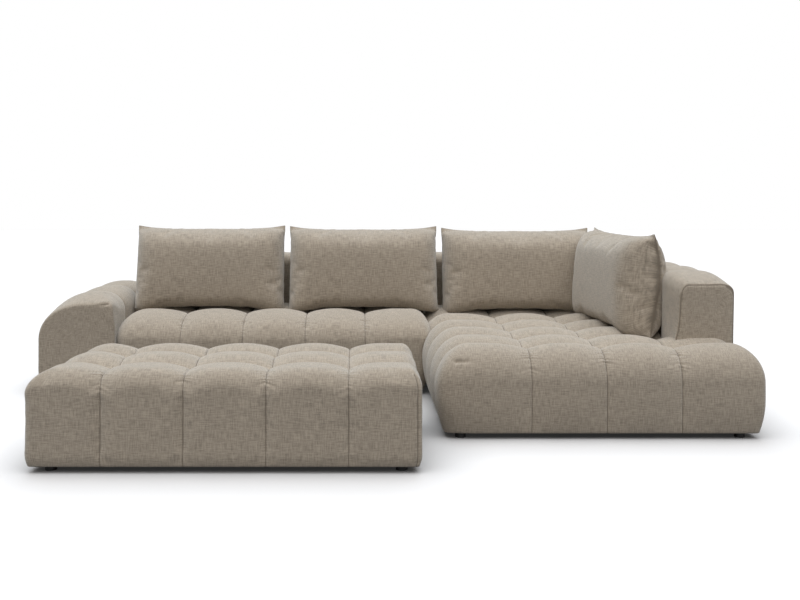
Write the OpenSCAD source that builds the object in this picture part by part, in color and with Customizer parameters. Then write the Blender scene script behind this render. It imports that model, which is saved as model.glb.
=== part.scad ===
// Corner sofa with a matching ottoman: a bench module with one arm, a chaise module with a
// side backrest, a free-standing ottoman and four loose cushions.
// +X is to the right as seen from the front, +Y is towards the back and +Z is up.
// The origin is on the floor, under the middle of the whole group.

/* [Plan] */
// Width of the bench seat, between the arm and the chaise
bench_seat_w = 1620; // [1560:10:1700]
// Depth of the bench from its front to the outside of its backrest
bench_d = 980; // [960:10:1040]
// Width of the arm
arm_w = 390; // [370:5:420]
// Width of the chaise, side backrest included
chaise_w = 1410; // [1380:10:1460]
// Depth of the chaise from its front to the outside of its backrest
chaise_d = 1883; // [1860:1:1960]
// How far behind the chaise's front its side backrest starts
side_back_set = 300; // [290:5:320]
// Width of the ottoman
ottoman_w = 1510; // [1450:10:1580]
// Depth of the ottoman
ottoman_d = 780; // [740:10:820]
// Free floor between the ottoman and the bench
ottoman_gap = 610; // [590:10:700]
// How far the ottoman's left side stands inside the bench seat's left end
ottoman_inset = 15; // [0:5:50]

/* [Heights] */
// Height of the feet, and of the lower edge of every cover
foot_h = 25; // [20:1:32]
// Crest of the bench's seat pillows
bench_h = 420; // [410:5:440]
// Crest of the chaise's seat pillows
chaise_h = 405; // [395:5:430]
// Crest of the ottoman's pillows
ottoman_h = 400; // [390:5:430]
// Crest of the arm
arm_h = 530; // [515:5:560]
// Crest of the backrests
back_h = 700; // [680:5:740]

/* [Pillows] */
// Depth of the bench's front row of pillows
bench_row = 330; // [300:5:350]
// Depth of the chaise's front row of pillows
chaise_front_row = 220; // [210:5:240]
// Depth of each of the chaise's next four rows of pillows
chaise_row = 257; // [250:1:262]
// Width of the chaise's first column of pillows, next to the bench
chaise_first_col = 410; // [380:5:430]
// Width of the ottoman's outer columns of pillows
ottoman_side_col = 281; // [270:1:300]
// Depth of a tuft below the crest of its pillows
tuft_depth = 44; // [34:2:52]
// Depth of the upright seams on the sides
seam_depth = 12; // [6:1:16]
// Roll of a seat's top edge, sideways
roll_side = 75; // [66:3:90]
// Roll of a seat's top edge, downwards
roll_drop = 85; // [70:5:95]
// How far the lower edge of a side draws in
tuck = 18; // [12:1:22]
// Height over which the lower edge draws in
tuck_h = 120; // [100:5:150]

/* [Arm and backrests] */
// Thickness of the rear backrests
back_t = 300; // [280:5:310]
// Thickness of the side backrest
side_back_t = 276; // [270:3:300]
// Roll of the arm's outer edge, sideways
arm_roll_side = 230; // [200:5:240]
// Roll of the arm's outer edge, downwards
arm_roll_drop = 200; // [180:5:210]
// Roll of a backrest's outer edge, sideways
back_roll_side = 110; // [90:5:120]
// Roll of a backrest's outer edge, downwards
back_roll_drop = 90; // [80:5:110]
// Roll of the inner top edge of the arm and the backrests
inner_roll = 60; // [50:5:70]
// Depth of the channels across the arm and the backrests
channel_depth = 20; // [12:1:24]
// How far an end of the arm or a backrest falls below its crest
end_drop = 46; // [36:2:52]
// How far an end of the arm or a backrest draws in at its sides
end_draw = 14; // [8:1:18]

/* [Inside] */
// Thickness of the padded cover at the sides
pad_t = 44; // [42:1:50]
// Thickness of the padded cover under a tuft
tuft_pad = 24; // [20:1:28]
// Thickness of the padded cover over the top of the arm and the backrests
top_pad = 70; // [66:2:80]
// Distance of the arm's upper frame from the arm's outer side
arm_core_in = 120; // [110:5:140]
// Thickness of the foam on the arm's top board
arm_pad = 50; // [30:5:70]
// Thickness of the rails and boards
rail_t = 24; // [20:1:30]
// Height of the base rails
rail_h = 150; // [130:5:160]
// Side of a corner block
block_w = 64; // [56:2:70]
// Width and thickness of an upright post in a backrest
post_t = 45; // [40:1:50]
// Thickness of one layer of webbing
web_t = 2; // [1.5:0.5:3]
// Width of one webbing strap
web_w = 60; // [50:5:70]
// Middle-to-middle distance of the webbing straps
web_pitch = 130; // [110:5:160]
// Thickness of the underlining
lining_t = 2; // [1.5:0.5:3]

/* [Hardware] */
// Diameter of a foot
foot_dia = 46; // [42:1:52]
// Distance from a seat's sides to the middle of its feet
foot_side = 76; // [70:1:80]
// Distance from the chaise's left side to the middle of its left feet
chaise_foot_left = 110; // [104:2:116]
// Distance from a seat's front and back to the middle of its feet
foot_front = 70; // [66:1:76]
// Diameter of the studs and bolts
bolt_dia = 8; // [6:1:10]
// Clearance between a stud or bolt and its hole, on the diameter
bolt_clear = 0.6; // [0.4:0.1:1]
// Depth of a stud in its foot
stud_foot = 14; // [10:1:18]
// Length of a stud above its foot
stud_len = 44; // [36:2:60]
// Diameter of a bolt's head
head_dia = 18; // [16:1:22]
// Height of a bolt's head
head_h = 6; // [5:0.5:8]
// Length of a joining plate
plate_len = 180; // [170:2:200]
// Width of a joining plate
plate_w = 40; // [36:2:50]
// Thickness of a joining plate
plate_t = 4; // [3:0.5:6]

/* [Cushions] */
// Width of a loose cushion between its corner tips
cushion_w = 860; // [840:5:870]
// Height of a loose cushion between its corner tips
cushion_h = 468; // [450:3:486]
// Fullness of a cushion in front of its edge seam
cushion_front = 152; // [136:4:160]
// Fullness of a cushion behind its edge seam
cushion_back = 98; // [86:4:106]
// How far the top and bottom edges draw in between the corners
edge_draw = 14; // [8:2:20]
// How far the side edges draw in between the corners
side_draw = 10; // [6:2:14]
// Thickness of a cushion's cover
cover_t = 10; // [8:1:14]
// Distance of a cushion's filling from the edge seam
seam_room = 26; // [24:1:32]
// Length of a cushion's zip
zip_len = 560; // [480:10:600]
// Width of a zip's tape
zip_w = 10; // [8:1:12]
// Space between two back cushions
cushion_space = 25; // [20:1:30]
// Lean of the back cushions, degrees
cushion_lean = 16; // [14:0.5:18]
// Lean of the side cushion, degrees
side_lean = 14; // [12:0.5:16]
// Turn of the side cushion away from the side backrest, degrees
side_turn = 5; // [4:0.5:6]
// Distance of the side cushion's middle in front of the backrest
side_cushion_out = 690; // [680:5:720]

/* [Hidden] */

// Gap between soft pieces that come apart
soft_gap = 0.3;
// Overrun of a cut past the face that it leaves through
over = 1;

// Outer limits of the group
left_x = -(arm_w + bench_seat_w + chaise_w) / 2;
right_x = -left_x;
back_y = (ottoman_d + ottoman_gap + bench_d) / 2;
front_y = -back_y;

// Planes between the modules and their backrests
seat_x0 = left_x + arm_w;
seat_x1 = seat_x0 + bench_seat_w;
rest_y = back_y - back_t;
side_x = right_x - side_back_t;
bench_y0 = back_y - bench_d;
chaise_y0 = back_y - chaise_d;
side_y0 = chaise_y0 + side_back_set;
ottoman_x0 = seat_x0 + ottoman_inset;

// A block is its two lower corners' X and Y and its crest's height
bench_block = [seat_x0, bench_y0, seat_x1, rest_y, bench_h];
chaise_block = [seat_x1, chaise_y0, right_x, rest_y, chaise_h];
ottoman_block = [ottoman_x0, front_y, ottoman_x0 + ottoman_w, front_y + ottoman_d, ottoman_h];

// Heights inside
lining_top = foot_h + lining_t;
rail_top = lining_top + rail_h;
web_top = rail_top + 2 * web_t;
block_pad = tuft_depth + tuft_pad;

function even(from, to, count) = [for (k = [0 : count]) from + (to - from) * k / count];
function clamp(v, low, high) = max(low, min(high, v));

// Edges of the columns and rows of pillows
bench_cols = even(seat_x0, seat_x1, 5);
bench_rows = [bench_y0, bench_y0 + bench_row, rest_y];
chaise_cols = concat([seat_x1], even(seat_x1 + chaise_first_col, right_x, 3));
chaise_row_1 = chaise_y0 + chaise_front_row;
chaise_rows = concat([chaise_y0], even(chaise_row_1, chaise_row_1 + 4 * chaise_row, 4), [rest_y]);
ottoman_cols = concat([ottoman_block[0]],
    even(ottoman_block[0] + ottoman_side_col, ottoman_block[2] - ottoman_side_col, 3),
    [ottoman_block[2]]);
ottoman_rows = even(ottoman_block[1], ottoman_block[3], 3);

fabric = "#9d9287";
foam_tone = "#efe3c2";
timber = "#c8a676";
steel = "#8d9196";
black = "#1c1c1c";

// Fullness of a pillow: 0 on its seam, 1 at its middle
function fullness(s) = 1 - pow(abs(2 * s - 1), 2.6);

// Lines of a tufted block between its edges: place, fullness on top, fullness along a side
function lines(edges) = let (last = len(edges) - 2) concat(
    [for (k = [0 : last], s = [0, 0.15, 0.5, 0.85])
        let (f = fullness(s), outer = (k == 0 && s < 0.5) || (k == last && s > 0.5))
        [edges[k] + (edges[k + 1] - edges[k]) * s, outer ? (1 + f) / 2 : f, outer ? 1 : f]],
    [[edges[last + 1], 0.5, 1]]);

// Share of the tuft's depth that the fullness of two crossing lines fills
function puff(fx, fy) = 0.65 * fx * fy + 0.35 * max(fx, fy);

// How far a side draws in at a height
function drawn_in(z) = tuck * pow(max(0, 1 - (z - foot_h) / tuck_h), 2);

// Point of a block's surface under or beside the sharp point p, lowered by fall
function rolled(block, p, fall) = let (
    core = [clamp(p.x, block[0] + roll_side, block[2] - roll_side),
        clamp(p.y, block[1] + roll_side, block[3] - roll_side),
        min(p.z, block[4] - roll_drop)],
    way = [(p.x - core.x) / roll_side, (p.y - core.y) / roll_side, (p.z - core.z) / roll_drop],
    out = way / norm(way))
    core + [out.x * (roll_side - fall), out.y * (roll_side - fall), out.z * (roll_drop - fall)];

// Tufted block: a lattice over the top, and rings of the same points down the sides
module tufted_block(block, cols, rows) {
    lx = lines(cols);
    ly = lines(rows);
    nx = len(lx) - 1;
    ny = len(ly) - 1;
    ring = 2 * (nx + ny);
    levels = [foot_h, foot_h + 0.3 * tuck_h, foot_h + tuck_h, block[4] - roll_drop];
    rings = len(levels);
    function spot(r) = r < nx ? [r, 0] : r < nx + ny ? [nx, r - nx]
        : r < 2 * nx + ny ? [2 * nx + ny - r, ny] : [0, ring - r];
    function place(i, j) = j == 0 ? i : i == nx ? nx + j : j == ny ? 2 * nx + ny - i : ring - j;
    function rim(i, j) = i == 0 || i == nx ? ly[j][2] : lx[i][2];
    function side_point(i, j, z) = rolled(block, [lx[i][0], ly[j][0], z],
        seam_depth * (1 - rim(i, j)) * min(1, (z - foot_h) / tuck_h) + drawn_in(z));
    function top_point(i, j) = rolled(block, [lx[i][0], ly[j][0], block[4]],
        tuft_depth * (1 - puff(lx[i][1], ly[j][1])));
    function edge_point(i, j) = rolled(block, [lx[i][0], ly[j][0], block[4]],
        2 * seam_depth * (1 - rim(i, j)));
    function top_at(i, j) = i == 0 || i == nx || j == 0 || j == ny
        ? rings * ring + place(i, j) % ring : (rings + 1) * ring + (j - 1) * (nx - 1) + i - 1;
    points = concat(
        [for (z = levels, r = [0 : ring - 1]) let (s = spot(r)) side_point(s[0], s[1], z)],
        [for (r = [0 : ring - 1]) let (s = spot(r)) edge_point(s[0], s[1])],
        [for (j = [1 : ny - 1], i = [1 : nx - 1]) top_point(i, j)],
        [[(block[0] + block[2]) / 2, (block[1] + block[3]) / 2, foot_h]]);
    middle = len(points) - 1;
    faces = concat(
        [for (k = [0 : rings - 1], r = [0 : ring - 1])
            let (a = k * ring + r, d = k * ring + (r + 1) % ring)
            each [[a, a + ring, d + ring], [a, d + ring, d]]],
        [for (j = [0 : ny - 1], i = [0 : nx - 1])
            let (a = top_at(i, j), b = top_at(i, j + 1),
                c = top_at(i + 1, j + 1), d = top_at(i + 1, j))
            each [[a, b, c], [a, c, d]]],
        [for (r = [0 : ring - 1]) [middle, r, (r + 1) % ring]]);
    polyhedron(points, faces);
}

// Outline across an arm or a backrest, from its outer lower edge over the top to its inner
// lower edge: place, height and the direction inwards
function outline(w, h, roll_x, roll_z) = concat(
    [for (k = [0, 0.35, 1]) let (z = foot_h + k * tuck_h) [drawn_in(z), z, 1, 0]],
    [for (a = [0 : 22.5 : 90])
        [roll_x * (1 - cos(a)), h - roll_z * (1 - sin(a)), cos(a), -sin(a)]],
    [for (a = [90 : -30 : 0])
        [w - inner_roll * (1 - cos(a)), h - inner_roll * (1 - sin(a)), -cos(a), -sin(a)]],
    [[w, foot_h, -1, 0]]);

// Stations along an arm or a backrest: place, draw of the sides and drop of the crest
function stations(edges) = let (last = len(edges) - 2) concat(
    [[edges[0], end_draw, end_drop]],
    [for (k = [0 : last], s = k == 0 ? [0.14, 0.5, 0.82] : [0, 0.18, 0.5, 0.82])
        let (f = 1 - fullness(s), first = k == 0 && s < 0.6, end = k == last && s > 0.6)
        [edges[k] + (edges[k + 1] - edges[k]) * s,
            first || end ? end_draw * f : channel_depth * f,
            first || end ? end_drop * f : channel_depth * f]],
    [[edges[last + 1], end_draw, end_drop]]);

// Upholstered block with channels across it. It lies along Y, with its outer side at X = 0
module channelled_block(edges, w, h, roll_x, roll_z) {
    across = outline(w, h, roll_x, roll_z);
    along = stations(edges);
    m = len(across);
    n = len(along);
    points = [for (t = along, p = across)
        [p[0] + p[2] * t[1], t[0], max(foot_h, p[1] + p[3] * t[2])]];
    faces = concat(
        [for (t = [0 : n - 2], k = [0 : m - 1])
            let (a = t * m + k, d = t * m + (k + 1) % m)
            each [[a, a + m, d + m], [a, d + m, d]]],
        [for (k = [1 : m - 2]) each [[0, k, k + 1],
            [(n - 1) * m, (n - 1) * m + k + 1, (n - 1) * m + k]]]);
    polyhedron(points, faces);
}

// Upright box between two corners given as [x, y], from one height to another
module slab(from, to, low, high) {
    translate([from.x, from.y, low]) cube([to.x - from.x, to.y - from.y, high - low]);
}

// Base frames seen from above, each a list of rectangles given by two corners. A side on a
// plane between modules has no padding, so that the frames meet there
arm_base = [[[left_x + pad_t, bench_y0 + pad_t], [seat_x0, back_y - pad_t]]];
bench_base = [[[seat_x0, bench_y0 + pad_t], [seat_x1 - pad_t, rest_y]]];
bench_back_base = [[[seat_x0 + pad_t, rest_y], [seat_x1 - pad_t, back_y - pad_t]]];
chaise_base = [[[seat_x1 + pad_t, chaise_y0 + pad_t], [side_x, rest_y]],
    [[side_x - rail_t, chaise_y0 + pad_t], [right_x - pad_t, side_y0 - pad_t]]];
corner_back_base = [[[seat_x1 + pad_t, rest_y], [right_x - pad_t, back_y - pad_t]]];
side_back_base = [[[side_x, side_y0 + pad_t], [right_x - pad_t, rest_y - pad_t]]];
ottoman_base = [[[ottoman_block[0] + pad_t, ottoman_block[1] + pad_t],
    [ottoman_block[2] - pad_t, ottoman_block[3] - pad_t]]];

// Foam of the seats seen from above
bench_soft = [[[seat_x0 + pad_t, bench_y0 + pad_t], [seat_x1 - pad_t, rest_y - pad_t]]];
chaise_soft = [[[seat_x1 + pad_t, chaise_y0 + pad_t], [side_x - pad_t, rest_y - pad_t]],
    [[seat_x1 + pad_t, chaise_y0 + pad_t], [right_x - pad_t, side_y0 - pad_t]]];

// Upper rooms of the arm and the backrests
arm_upper = [[left_x + arm_core_in, bench_y0 + pad_t], [seat_x0 - pad_t, back_y - pad_t]];
bench_back_upper = [[seat_x0 + pad_t, rest_y + pad_t], [seat_x1 - pad_t, back_y - pad_t]];
corner_back_upper = [[seat_x1 + pad_t, rest_y + pad_t], [right_x - pad_t, back_y - pad_t]];
side_back_upper = [[side_x + pad_t, side_y0 + pad_t], [right_x - pad_t, rest_y - pad_t]];
arm_room_top = arm_h - top_pad;
back_room_top = back_h - top_pad;

// Middles of the feet
arm_spots = [for (y = [bench_y0 + foot_front, back_y - foot_front]) [left_x + foot_side, y]];
bench_seat_spots = [for (x = [seat_x0 + foot_side, seat_x1 - foot_side]) [x, bench_y0 + foot_front]];
bench_back_spots = [[seat_x1 - foot_side, back_y - foot_front]];
bench_spots = concat(arm_spots, bench_seat_spots, bench_back_spots);
chaise_left_spot = [seat_x1 + chaise_foot_left, chaise_y0 + foot_front];
chaise_right_spot = [right_x - foot_side, chaise_y0 + foot_front];
corner_spots = [for (x = [seat_x1 + chaise_foot_left, right_x - foot_side]) [x, back_y - foot_front]];
chaise_spots = concat([chaise_left_spot, chaise_right_spot], corner_spots);
ottoman_spots = [for (x = [ottoman_block[0] + foot_side, ottoman_block[2] - foot_side],
    y = [ottoman_block[1] + foot_front, ottoman_block[3] - foot_front]) [x, y]];

// Middles of the bolts through two rails that meet: on a plane across X or across Y
bolt_z = (lining_top + rail_top) / 2;
function middles(edges) = [for (k = [0 : len(edges) - 2]) (edges[k] + edges[k + 1]) / 2];
arm_bolt_spots = [for (k = [1, 5]) [seat_x0, even(bench_base[0][0].y, rest_y, 6)[k]]];
bench_back_bolt_spots = [for (x = middles(bench_cols)) [x, rest_y]];
corner_back_bolt_spots = [for (x = middles(chaise_cols)) if (x < side_x - head_dia) [x, rest_y]];
side_back_bolt_spots = [for (y = middles(chaise_rows)) if (y > side_y0 + pad_t + head_dia) [side_x, y]];

// Middles of the joining plates, under the modules' facing rails
plate_spots = [for (y = middles(bench_rows)) [seat_x1, y]];
joint_bolt_reach = pad_t + rail_t / 2;
joint_bolt_spots = [for (s = plate_spots, way = [-1, 1]) [s.x + way * joint_bolt_reach, s.y]];

// Room inside a cover: the base up to one height, opened over its bottom, and an upper part
module room(base, base_top, upper, top) {
    for (r = base) slab(r[0], r[1], foot_h - over, base_top);
    for (r = upper) slab(r[0], r[1], base_top - over, top);
}

module upright_hole(spot, high, dia) {
    translate([spot.x, spot.y, foot_h - over]) cylinder(h = high - foot_h + over, d = dia, $fn = 24);
}

// Holes for the foot studs and for the bolts of the joining plates
module stud_holes(spots) {
    for (s = spots) upright_hole(s, foot_h + stud_len, bolt_dia + bolt_clear);
}

// Timber block that takes a foot's stud, kept inside its base
module foot_block(spot, base) {
    slab([max(spot.x - block_w / 2, base[0].x), max(spot.y - block_w / 2, base[0].y)],
        [min(spot.x + block_w / 2, base[1].x), min(spot.y + block_w / 2, base[1].y)],
        lining_top, rail_top);
}

// Ring of rails round a base
module rail_ring(base) {
    difference() {
        slab(base[0], base[1], lining_top, rail_top);
        slab([base[0].x + rail_t, base[0].y + rail_t], [base[1].x - rail_t, base[1].y - rail_t],
            lining_top - over, rail_top + over);
    }
}

// Bolt along Z through two rails that meet at its middle, with its head and its nut
module through_bolt() {
    translate([0, 0, -rail_t]) cylinder(h = 2 * rail_t, d = bolt_dia, $fn = 24);
    translate([0, 0, rail_t]) cylinder(h = head_h, d = head_dia, $fn = 32);
    translate([0, 0, -rail_t - head_h]) cylinder(h = head_h, d = head_dia, $fn = 6);
}

// Bolts or bolt holes across a plane: along X where the plane faces X, otherwise along Y
module across_x(spots) {
    for (s = spots) translate([s.x, s.y, bolt_z]) rotate([0, 90, 0]) children();
}

module across_y(spots) {
    for (s = spots) translate([s.x, s.y, bolt_z]) rotate([90, 0, 0]) children();
}

module bolt_hole() {
    cylinder(h = 2 * (rail_t + over), d = bolt_dia + bolt_clear, center = true, $fn = 24);
}

// Two layers of straps over a base, along X and then along Y
module webbing(base) {
    size = base[1] - base[0];
    mid = (base[0] + base[1]) / 2;
    along_x = floor((size.y - web_w) / web_pitch);
    along_y = floor((size.x - web_w) / web_pitch);
    for (k = [0 : along_x]) {
        y = mid.y + (k - along_x / 2) * web_pitch;
        slab([base[0].x, y - web_w / 2], [base[1].x, y + web_w / 2], rail_top, rail_top + web_t);
    }
    for (k = [0 : along_y]) {
        x = mid.x + (k - along_y / 2) * web_pitch;
        slab([x - web_w / 2, base[0].y], [x + web_w / 2, base[1].y], rail_top + web_t, web_top);
    }
}

module feet(spots) {
    for (s = spots) translate([s.x, s.y, 0])
        difference() {
            cylinder(h = foot_h, d = foot_dia, $fn = 48);
            translate([0, 0, foot_h - stud_foot])
                cylinder(h = stud_foot + over, d = bolt_dia + bolt_clear, $fn = 24);
        }
}

module foot_studs(spots) {
    for (s = spots) translate([s.x, s.y, foot_h - stud_foot])
        cylinder(h = stud_foot + stud_len, d = bolt_dia, $fn = 24);
}

// Upright posts and a top rail against one side of a backrest's upper room
module back_posts(upper, low, along_y) {
    to = along_y ? [upper[1].x, upper[1].y] : upper[1];
    from = along_y ? [upper[1].x - post_t, upper[0].y] : [upper[0].x, upper[1].y - post_t];
    run = along_y ? to.y - from.y - post_t : to.x - from.x - post_t;
    bays = ceil(run / 600);
    for (k = [0 : bays]) {
        at = run * k / bays;
        spot = along_y ? [from.x, from.y + at] : [from.x + at, from.y];
        slab(spot, spot + [post_t, post_t], low, back_room_top);
    }
    slab(from, to, back_room_top - post_t, back_room_top);
}

// Foam of a backrest, in front of its posts
module back_pad(upper, along_y) {
    slab(upper[0], along_y ? upper[1] - [post_t, 0] : upper[1] - [0, post_t],
        rail_top, back_room_top);
}

module arm_cover() {
    color(fabric) difference() {
        translate([left_x, bench_y0, 0])
            channelled_block(even(0, bench_d, 3), arm_w, arm_h, arm_roll_side, arm_roll_drop);
        room(arm_base, rail_top, [arm_upper], arm_room_top);
        slab([seat_x0 - over, arm_base[0][0].y], [seat_x0 + over, arm_base[0][1].y],
            foot_h - over, rail_top);
    }
}

module arm_foam() {
    color(foam_tone) slab(arm_upper[0], arm_upper[1], arm_room_top - arm_pad, arm_room_top);
}

module arm_frame() {
    board_top = arm_room_top - arm_pad;
    color(timber) difference() {
        union() {
            rail_ring(arm_base[0]);
            for (s = arm_spots) foot_block(s, arm_base[0]);
            for (y = even(arm_upper[0].y, arm_upper[1].y - rail_t, 2))
                slab([arm_upper[0].x, y], [arm_upper[1].x, y + rail_t], rail_top - over, board_top);
            for (y = even(arm_upper[0].y, arm_upper[1].y - rail_t, 2))
                slab([arm_base[0][0].x, y], [arm_base[0][1].x, y + rail_t], lining_top, rail_top);
            slab(arm_upper[0], arm_upper[1], board_top - rail_t, board_top);
        }
        stud_holes(arm_spots);
        across_x(arm_bolt_spots) bolt_hole();
    }
}

module arm_bolts() {
    color(steel) across_x(arm_bolt_spots) through_bolt();
}

module bench_cover() {
    color(fabric) difference() {
        tufted_block(bench_block, bench_cols, bench_rows);
        room(bench_base, web_top, bench_soft, bench_h - block_pad);
        slab([seat_x0 - over, bench_base[0][0].y], [seat_x0 + over, rest_y + over],
            foot_h - over, web_top);
        slab([seat_x0 - over, rest_y - over], [bench_base[0][1].x, rest_y + over],
            foot_h - over, web_top);
    }
}

module bench_foam() {
    color(foam_tone) for (r = bench_soft) slab(r[0], r[1], web_top, bench_h - block_pad);
}

module bench_webbing() {
    color("dimgray") for (r = bench_base) webbing(r);
}

module bench_frame() {
    color(timber) difference() {
        union() {
            for (r = bench_base) rail_ring(r);
            for (s = bench_seat_spots) foot_block(s, bench_base[0]);
            for (k = [1 : 4])
                slab([bench_cols[k] - rail_t / 2, bench_base[0][0].y],
                    [bench_cols[k] + rail_t / 2, rest_y], lining_top, rail_top);
        }
        stud_holes(bench_seat_spots);
        stud_holes(joint_bolt_spots);
        across_x(arm_bolt_spots) bolt_hole();
        across_y(bench_back_bolt_spots) bolt_hole();
    }
}

module bench_underlining() {
    color(black) difference() {
        for (r = concat(arm_base, bench_base, bench_back_base)) slab(r[0], r[1], foot_h, lining_top);
        stud_holes(bench_spots);
        stud_holes(joint_bolt_spots);
    }
}

module bench_feet() {
    color(black) feet(bench_spots);
}

module bench_foot_studs() {
    color(steel) foot_studs(bench_spots);
}

module bench_back_cover() {
    color(fabric) difference() {
        translate([seat_x0, back_y, 0]) rotate([0, 0, -90])
            channelled_block(bench_cols - [for (x = bench_cols) seat_x0], back_t, back_h,
                back_roll_side, back_roll_drop);
        room(bench_back_base, rail_top, [bench_back_upper], back_room_top);
        slab([bench_back_base[0][0].x, rest_y - over], [bench_back_base[0][1].x, rest_y + over],
            foot_h - over, rail_top);
    }
}

module bench_back_foam() {
    color(foam_tone) back_pad(bench_back_upper, false);
}

module bench_back_frame() {
    color(timber) difference() {
        union() {
            rail_ring(bench_back_base[0]);
            for (s = bench_back_spots) foot_block(s, bench_back_base[0]);
            back_posts(bench_back_upper, lining_top, false);
        }
        stud_holes(bench_back_spots);
        across_y(bench_back_bolt_spots) bolt_hole();
    }
}

module bench_back_bolts() {
    color(steel) across_y(bench_back_bolt_spots) through_bolt();
}

module chaise_cover() {
    color(fabric) difference() {
        tufted_block(chaise_block, chaise_cols, chaise_rows);
        room(chaise_base, web_top, chaise_soft, chaise_h - block_pad);
        slab([chaise_base[0][0].x, rest_y - over], [side_x, rest_y + over], foot_h - over, web_top);
        slab([side_x, side_y0], [right_x + over, rest_y + over], foot_h - over, chaise_h + over);
    }
}

module chaise_foam() {
    color(foam_tone) for (r = chaise_soft) slab(r[0], r[1], web_top, chaise_h - block_pad);
}

module chaise_webbing() {
    color("dimgray") for (r = chaise_base) webbing(r);
}

module chaise_frame() {
    color(timber) difference() {
        union() {
            for (r = chaise_base) rail_ring(r);
            foot_block(chaise_left_spot, chaise_base[0]);
            foot_block(chaise_right_spot, chaise_base[1]);
            for (k = [1 : 5])
                slab([chaise_base[0][0].x, chaise_rows[k] - rail_t / 2],
                    [side_x, chaise_rows[k] + rail_t / 2], lining_top, rail_top);
        }
        stud_holes(chaise_spots);
        stud_holes(joint_bolt_spots);
        across_x(side_back_bolt_spots) bolt_hole();
        across_y(corner_back_bolt_spots) bolt_hole();
    }
}

module chaise_underlining() {
    color(black) difference() {
        for (r = concat(chaise_base, corner_back_base, side_back_base))
            slab(r[0], r[1], foot_h, lining_top);
        stud_holes(chaise_spots);
        stud_holes(joint_bolt_spots);
    }
}

module chaise_feet() {
    color(black) feet(chaise_spots);
}

module chaise_foot_studs() {
    color(steel) foot_studs(chaise_spots);
}

module corner_back_cover() {
    edges = concat([for (x = chaise_cols) if (x < right_x - over) x - seat_x1], [chaise_w]);
    color(fabric) difference() {
        translate([seat_x1, back_y, 0]) rotate([0, 0, -90])
            channelled_block(edges, back_t, back_h, back_roll_side, back_roll_drop);
        room(corner_back_base, rail_top, [corner_back_upper], back_room_top);
        slab([corner_back_base[0][0].x, rest_y - over], [side_x, rest_y + over],
            foot_h - over, rail_top);
    }
}

module corner_back_foam() {
    color(foam_tone) back_pad(corner_back_upper, false);
}

module corner_back_frame() {
    color(timber) difference() {
        union() {
            rail_ring(corner_back_base[0]);
            for (s = corner_spots) foot_block(s, corner_back_base[0]);
            back_posts(corner_back_upper, lining_top, false);
        }
        stud_holes(corner_spots);
        across_y(corner_back_bolt_spots) bolt_hole();
    }
}

module corner_back_bolts() {
    color(steel) across_y(corner_back_bolt_spots) through_bolt();
}

module side_back_cover() {
    color(fabric) difference() {
        translate([right_x, side_y0, 0]) mirror([1, 0, 0])
            channelled_block(even(0, rest_y - side_y0, 5), side_back_t, back_h,
                back_roll_side, back_roll_drop);
        room(side_back_base, rail_top, [side_back_upper], back_room_top);
        slab([side_x - over, side_back_base[0][0].y], [side_x + over, side_back_base[0][1].y],
            foot_h - over, rail_top);
    }
}

module side_back_foam() {
    color(foam_tone) back_pad(side_back_upper, true);
}

module side_back_frame() {
    color(timber) difference() {
        union() {
            rail_ring(side_back_base[0]);
            back_posts(side_back_upper, lining_top, true);
        }
        across_x(side_back_bolt_spots) bolt_hole();
    }
}

module side_back_bolts() {
    color(steel) across_x(side_back_bolt_spots) through_bolt();
}

module joining_plates() {
    color(steel) difference() {
        for (s = plate_spots)
            slab([s.x - plate_len / 2, s.y - plate_w / 2], [s.x + plate_len / 2, s.y + plate_w / 2],
                foot_h - plate_t, foot_h);
        for (s = joint_bolt_spots)
            translate([s.x, s.y, foot_h - plate_t - over])
                cylinder(h = plate_t + 2 * over, d = bolt_dia + bolt_clear, $fn = 24);
    }
}

module joining_bolts() {
    color(steel) for (s = joint_bolt_spots) translate([s.x, s.y, foot_h - plate_t]) {
        cylinder(h = plate_t + stud_len - over, d = bolt_dia, $fn = 24);
        translate([0, 0, -head_h]) cylinder(h = head_h, d = head_dia, $fn = 32);
    }
}

module ottoman_cover() {
    color(fabric) difference() {
        tufted_block(ottoman_block, ottoman_cols, ottoman_rows);
        room(ottoman_base, web_top, ottoman_base, ottoman_h - block_pad);
    }
}

module ottoman_foam() {
    color(foam_tone) for (r = ottoman_base) slab(r[0], r[1], web_top, ottoman_h - block_pad);
}

module ottoman_webbing() {
    color("dimgray") for (r = ottoman_base) webbing(r);
}

module ottoman_frame() {
    color(timber) difference() {
        union() {
            for (r = ottoman_base) rail_ring(r);
            for (s = ottoman_spots) foot_block(s, ottoman_base[0]);
            for (k = [1 : 4])
                slab([ottoman_cols[k] - rail_t / 2, ottoman_base[0][0].y],
                    [ottoman_cols[k] + rail_t / 2, ottoman_base[0][1].y], lining_top, rail_top);
        }
        stud_holes(ottoman_spots);
    }
}

module ottoman_underlining() {
    color(black) difference() {
        for (r = ottoman_base) slab(r[0], r[1], foot_h, lining_top);
        stud_holes(ottoman_spots);
    }
}

module ottoman_feet() {
    color(black) feet(ottoman_spots);
}

module ottoman_foot_studs() {
    color(steel) foot_studs(ottoman_spots);
}

// Loose cushion, standing on its long edge round its own middle, with its front towards -Y.
// Two crowned faces share the points of an edge seam that draws in between the corner tips
function spread(k, count) = sin(90 * (2 * k / count - 1));
function crown(u, v) = pow((1 - pow(abs(u), 2.3)) * (1 - pow(abs(v), 2.3)), 0.6);
function cushion_point(w, h, full, u, v) = [u * (w / 2 - side_draw * (1 - v * v)),
    full * crown(u, v), v * (h / 2 - edge_draw * (1 - u * u))];
function cushion_points(w, h, front, back, nx, nz) = concat(
    [for (j = [0 : nz], i = [0 : nx]) cushion_point(w, h, -front, spread(i, nx), spread(j, nz))],
    [for (j = [1 : nz - 1], i = [1 : nx - 1])
        cushion_point(w, h, back, spread(i, nx), spread(j, nz))]);

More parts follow.
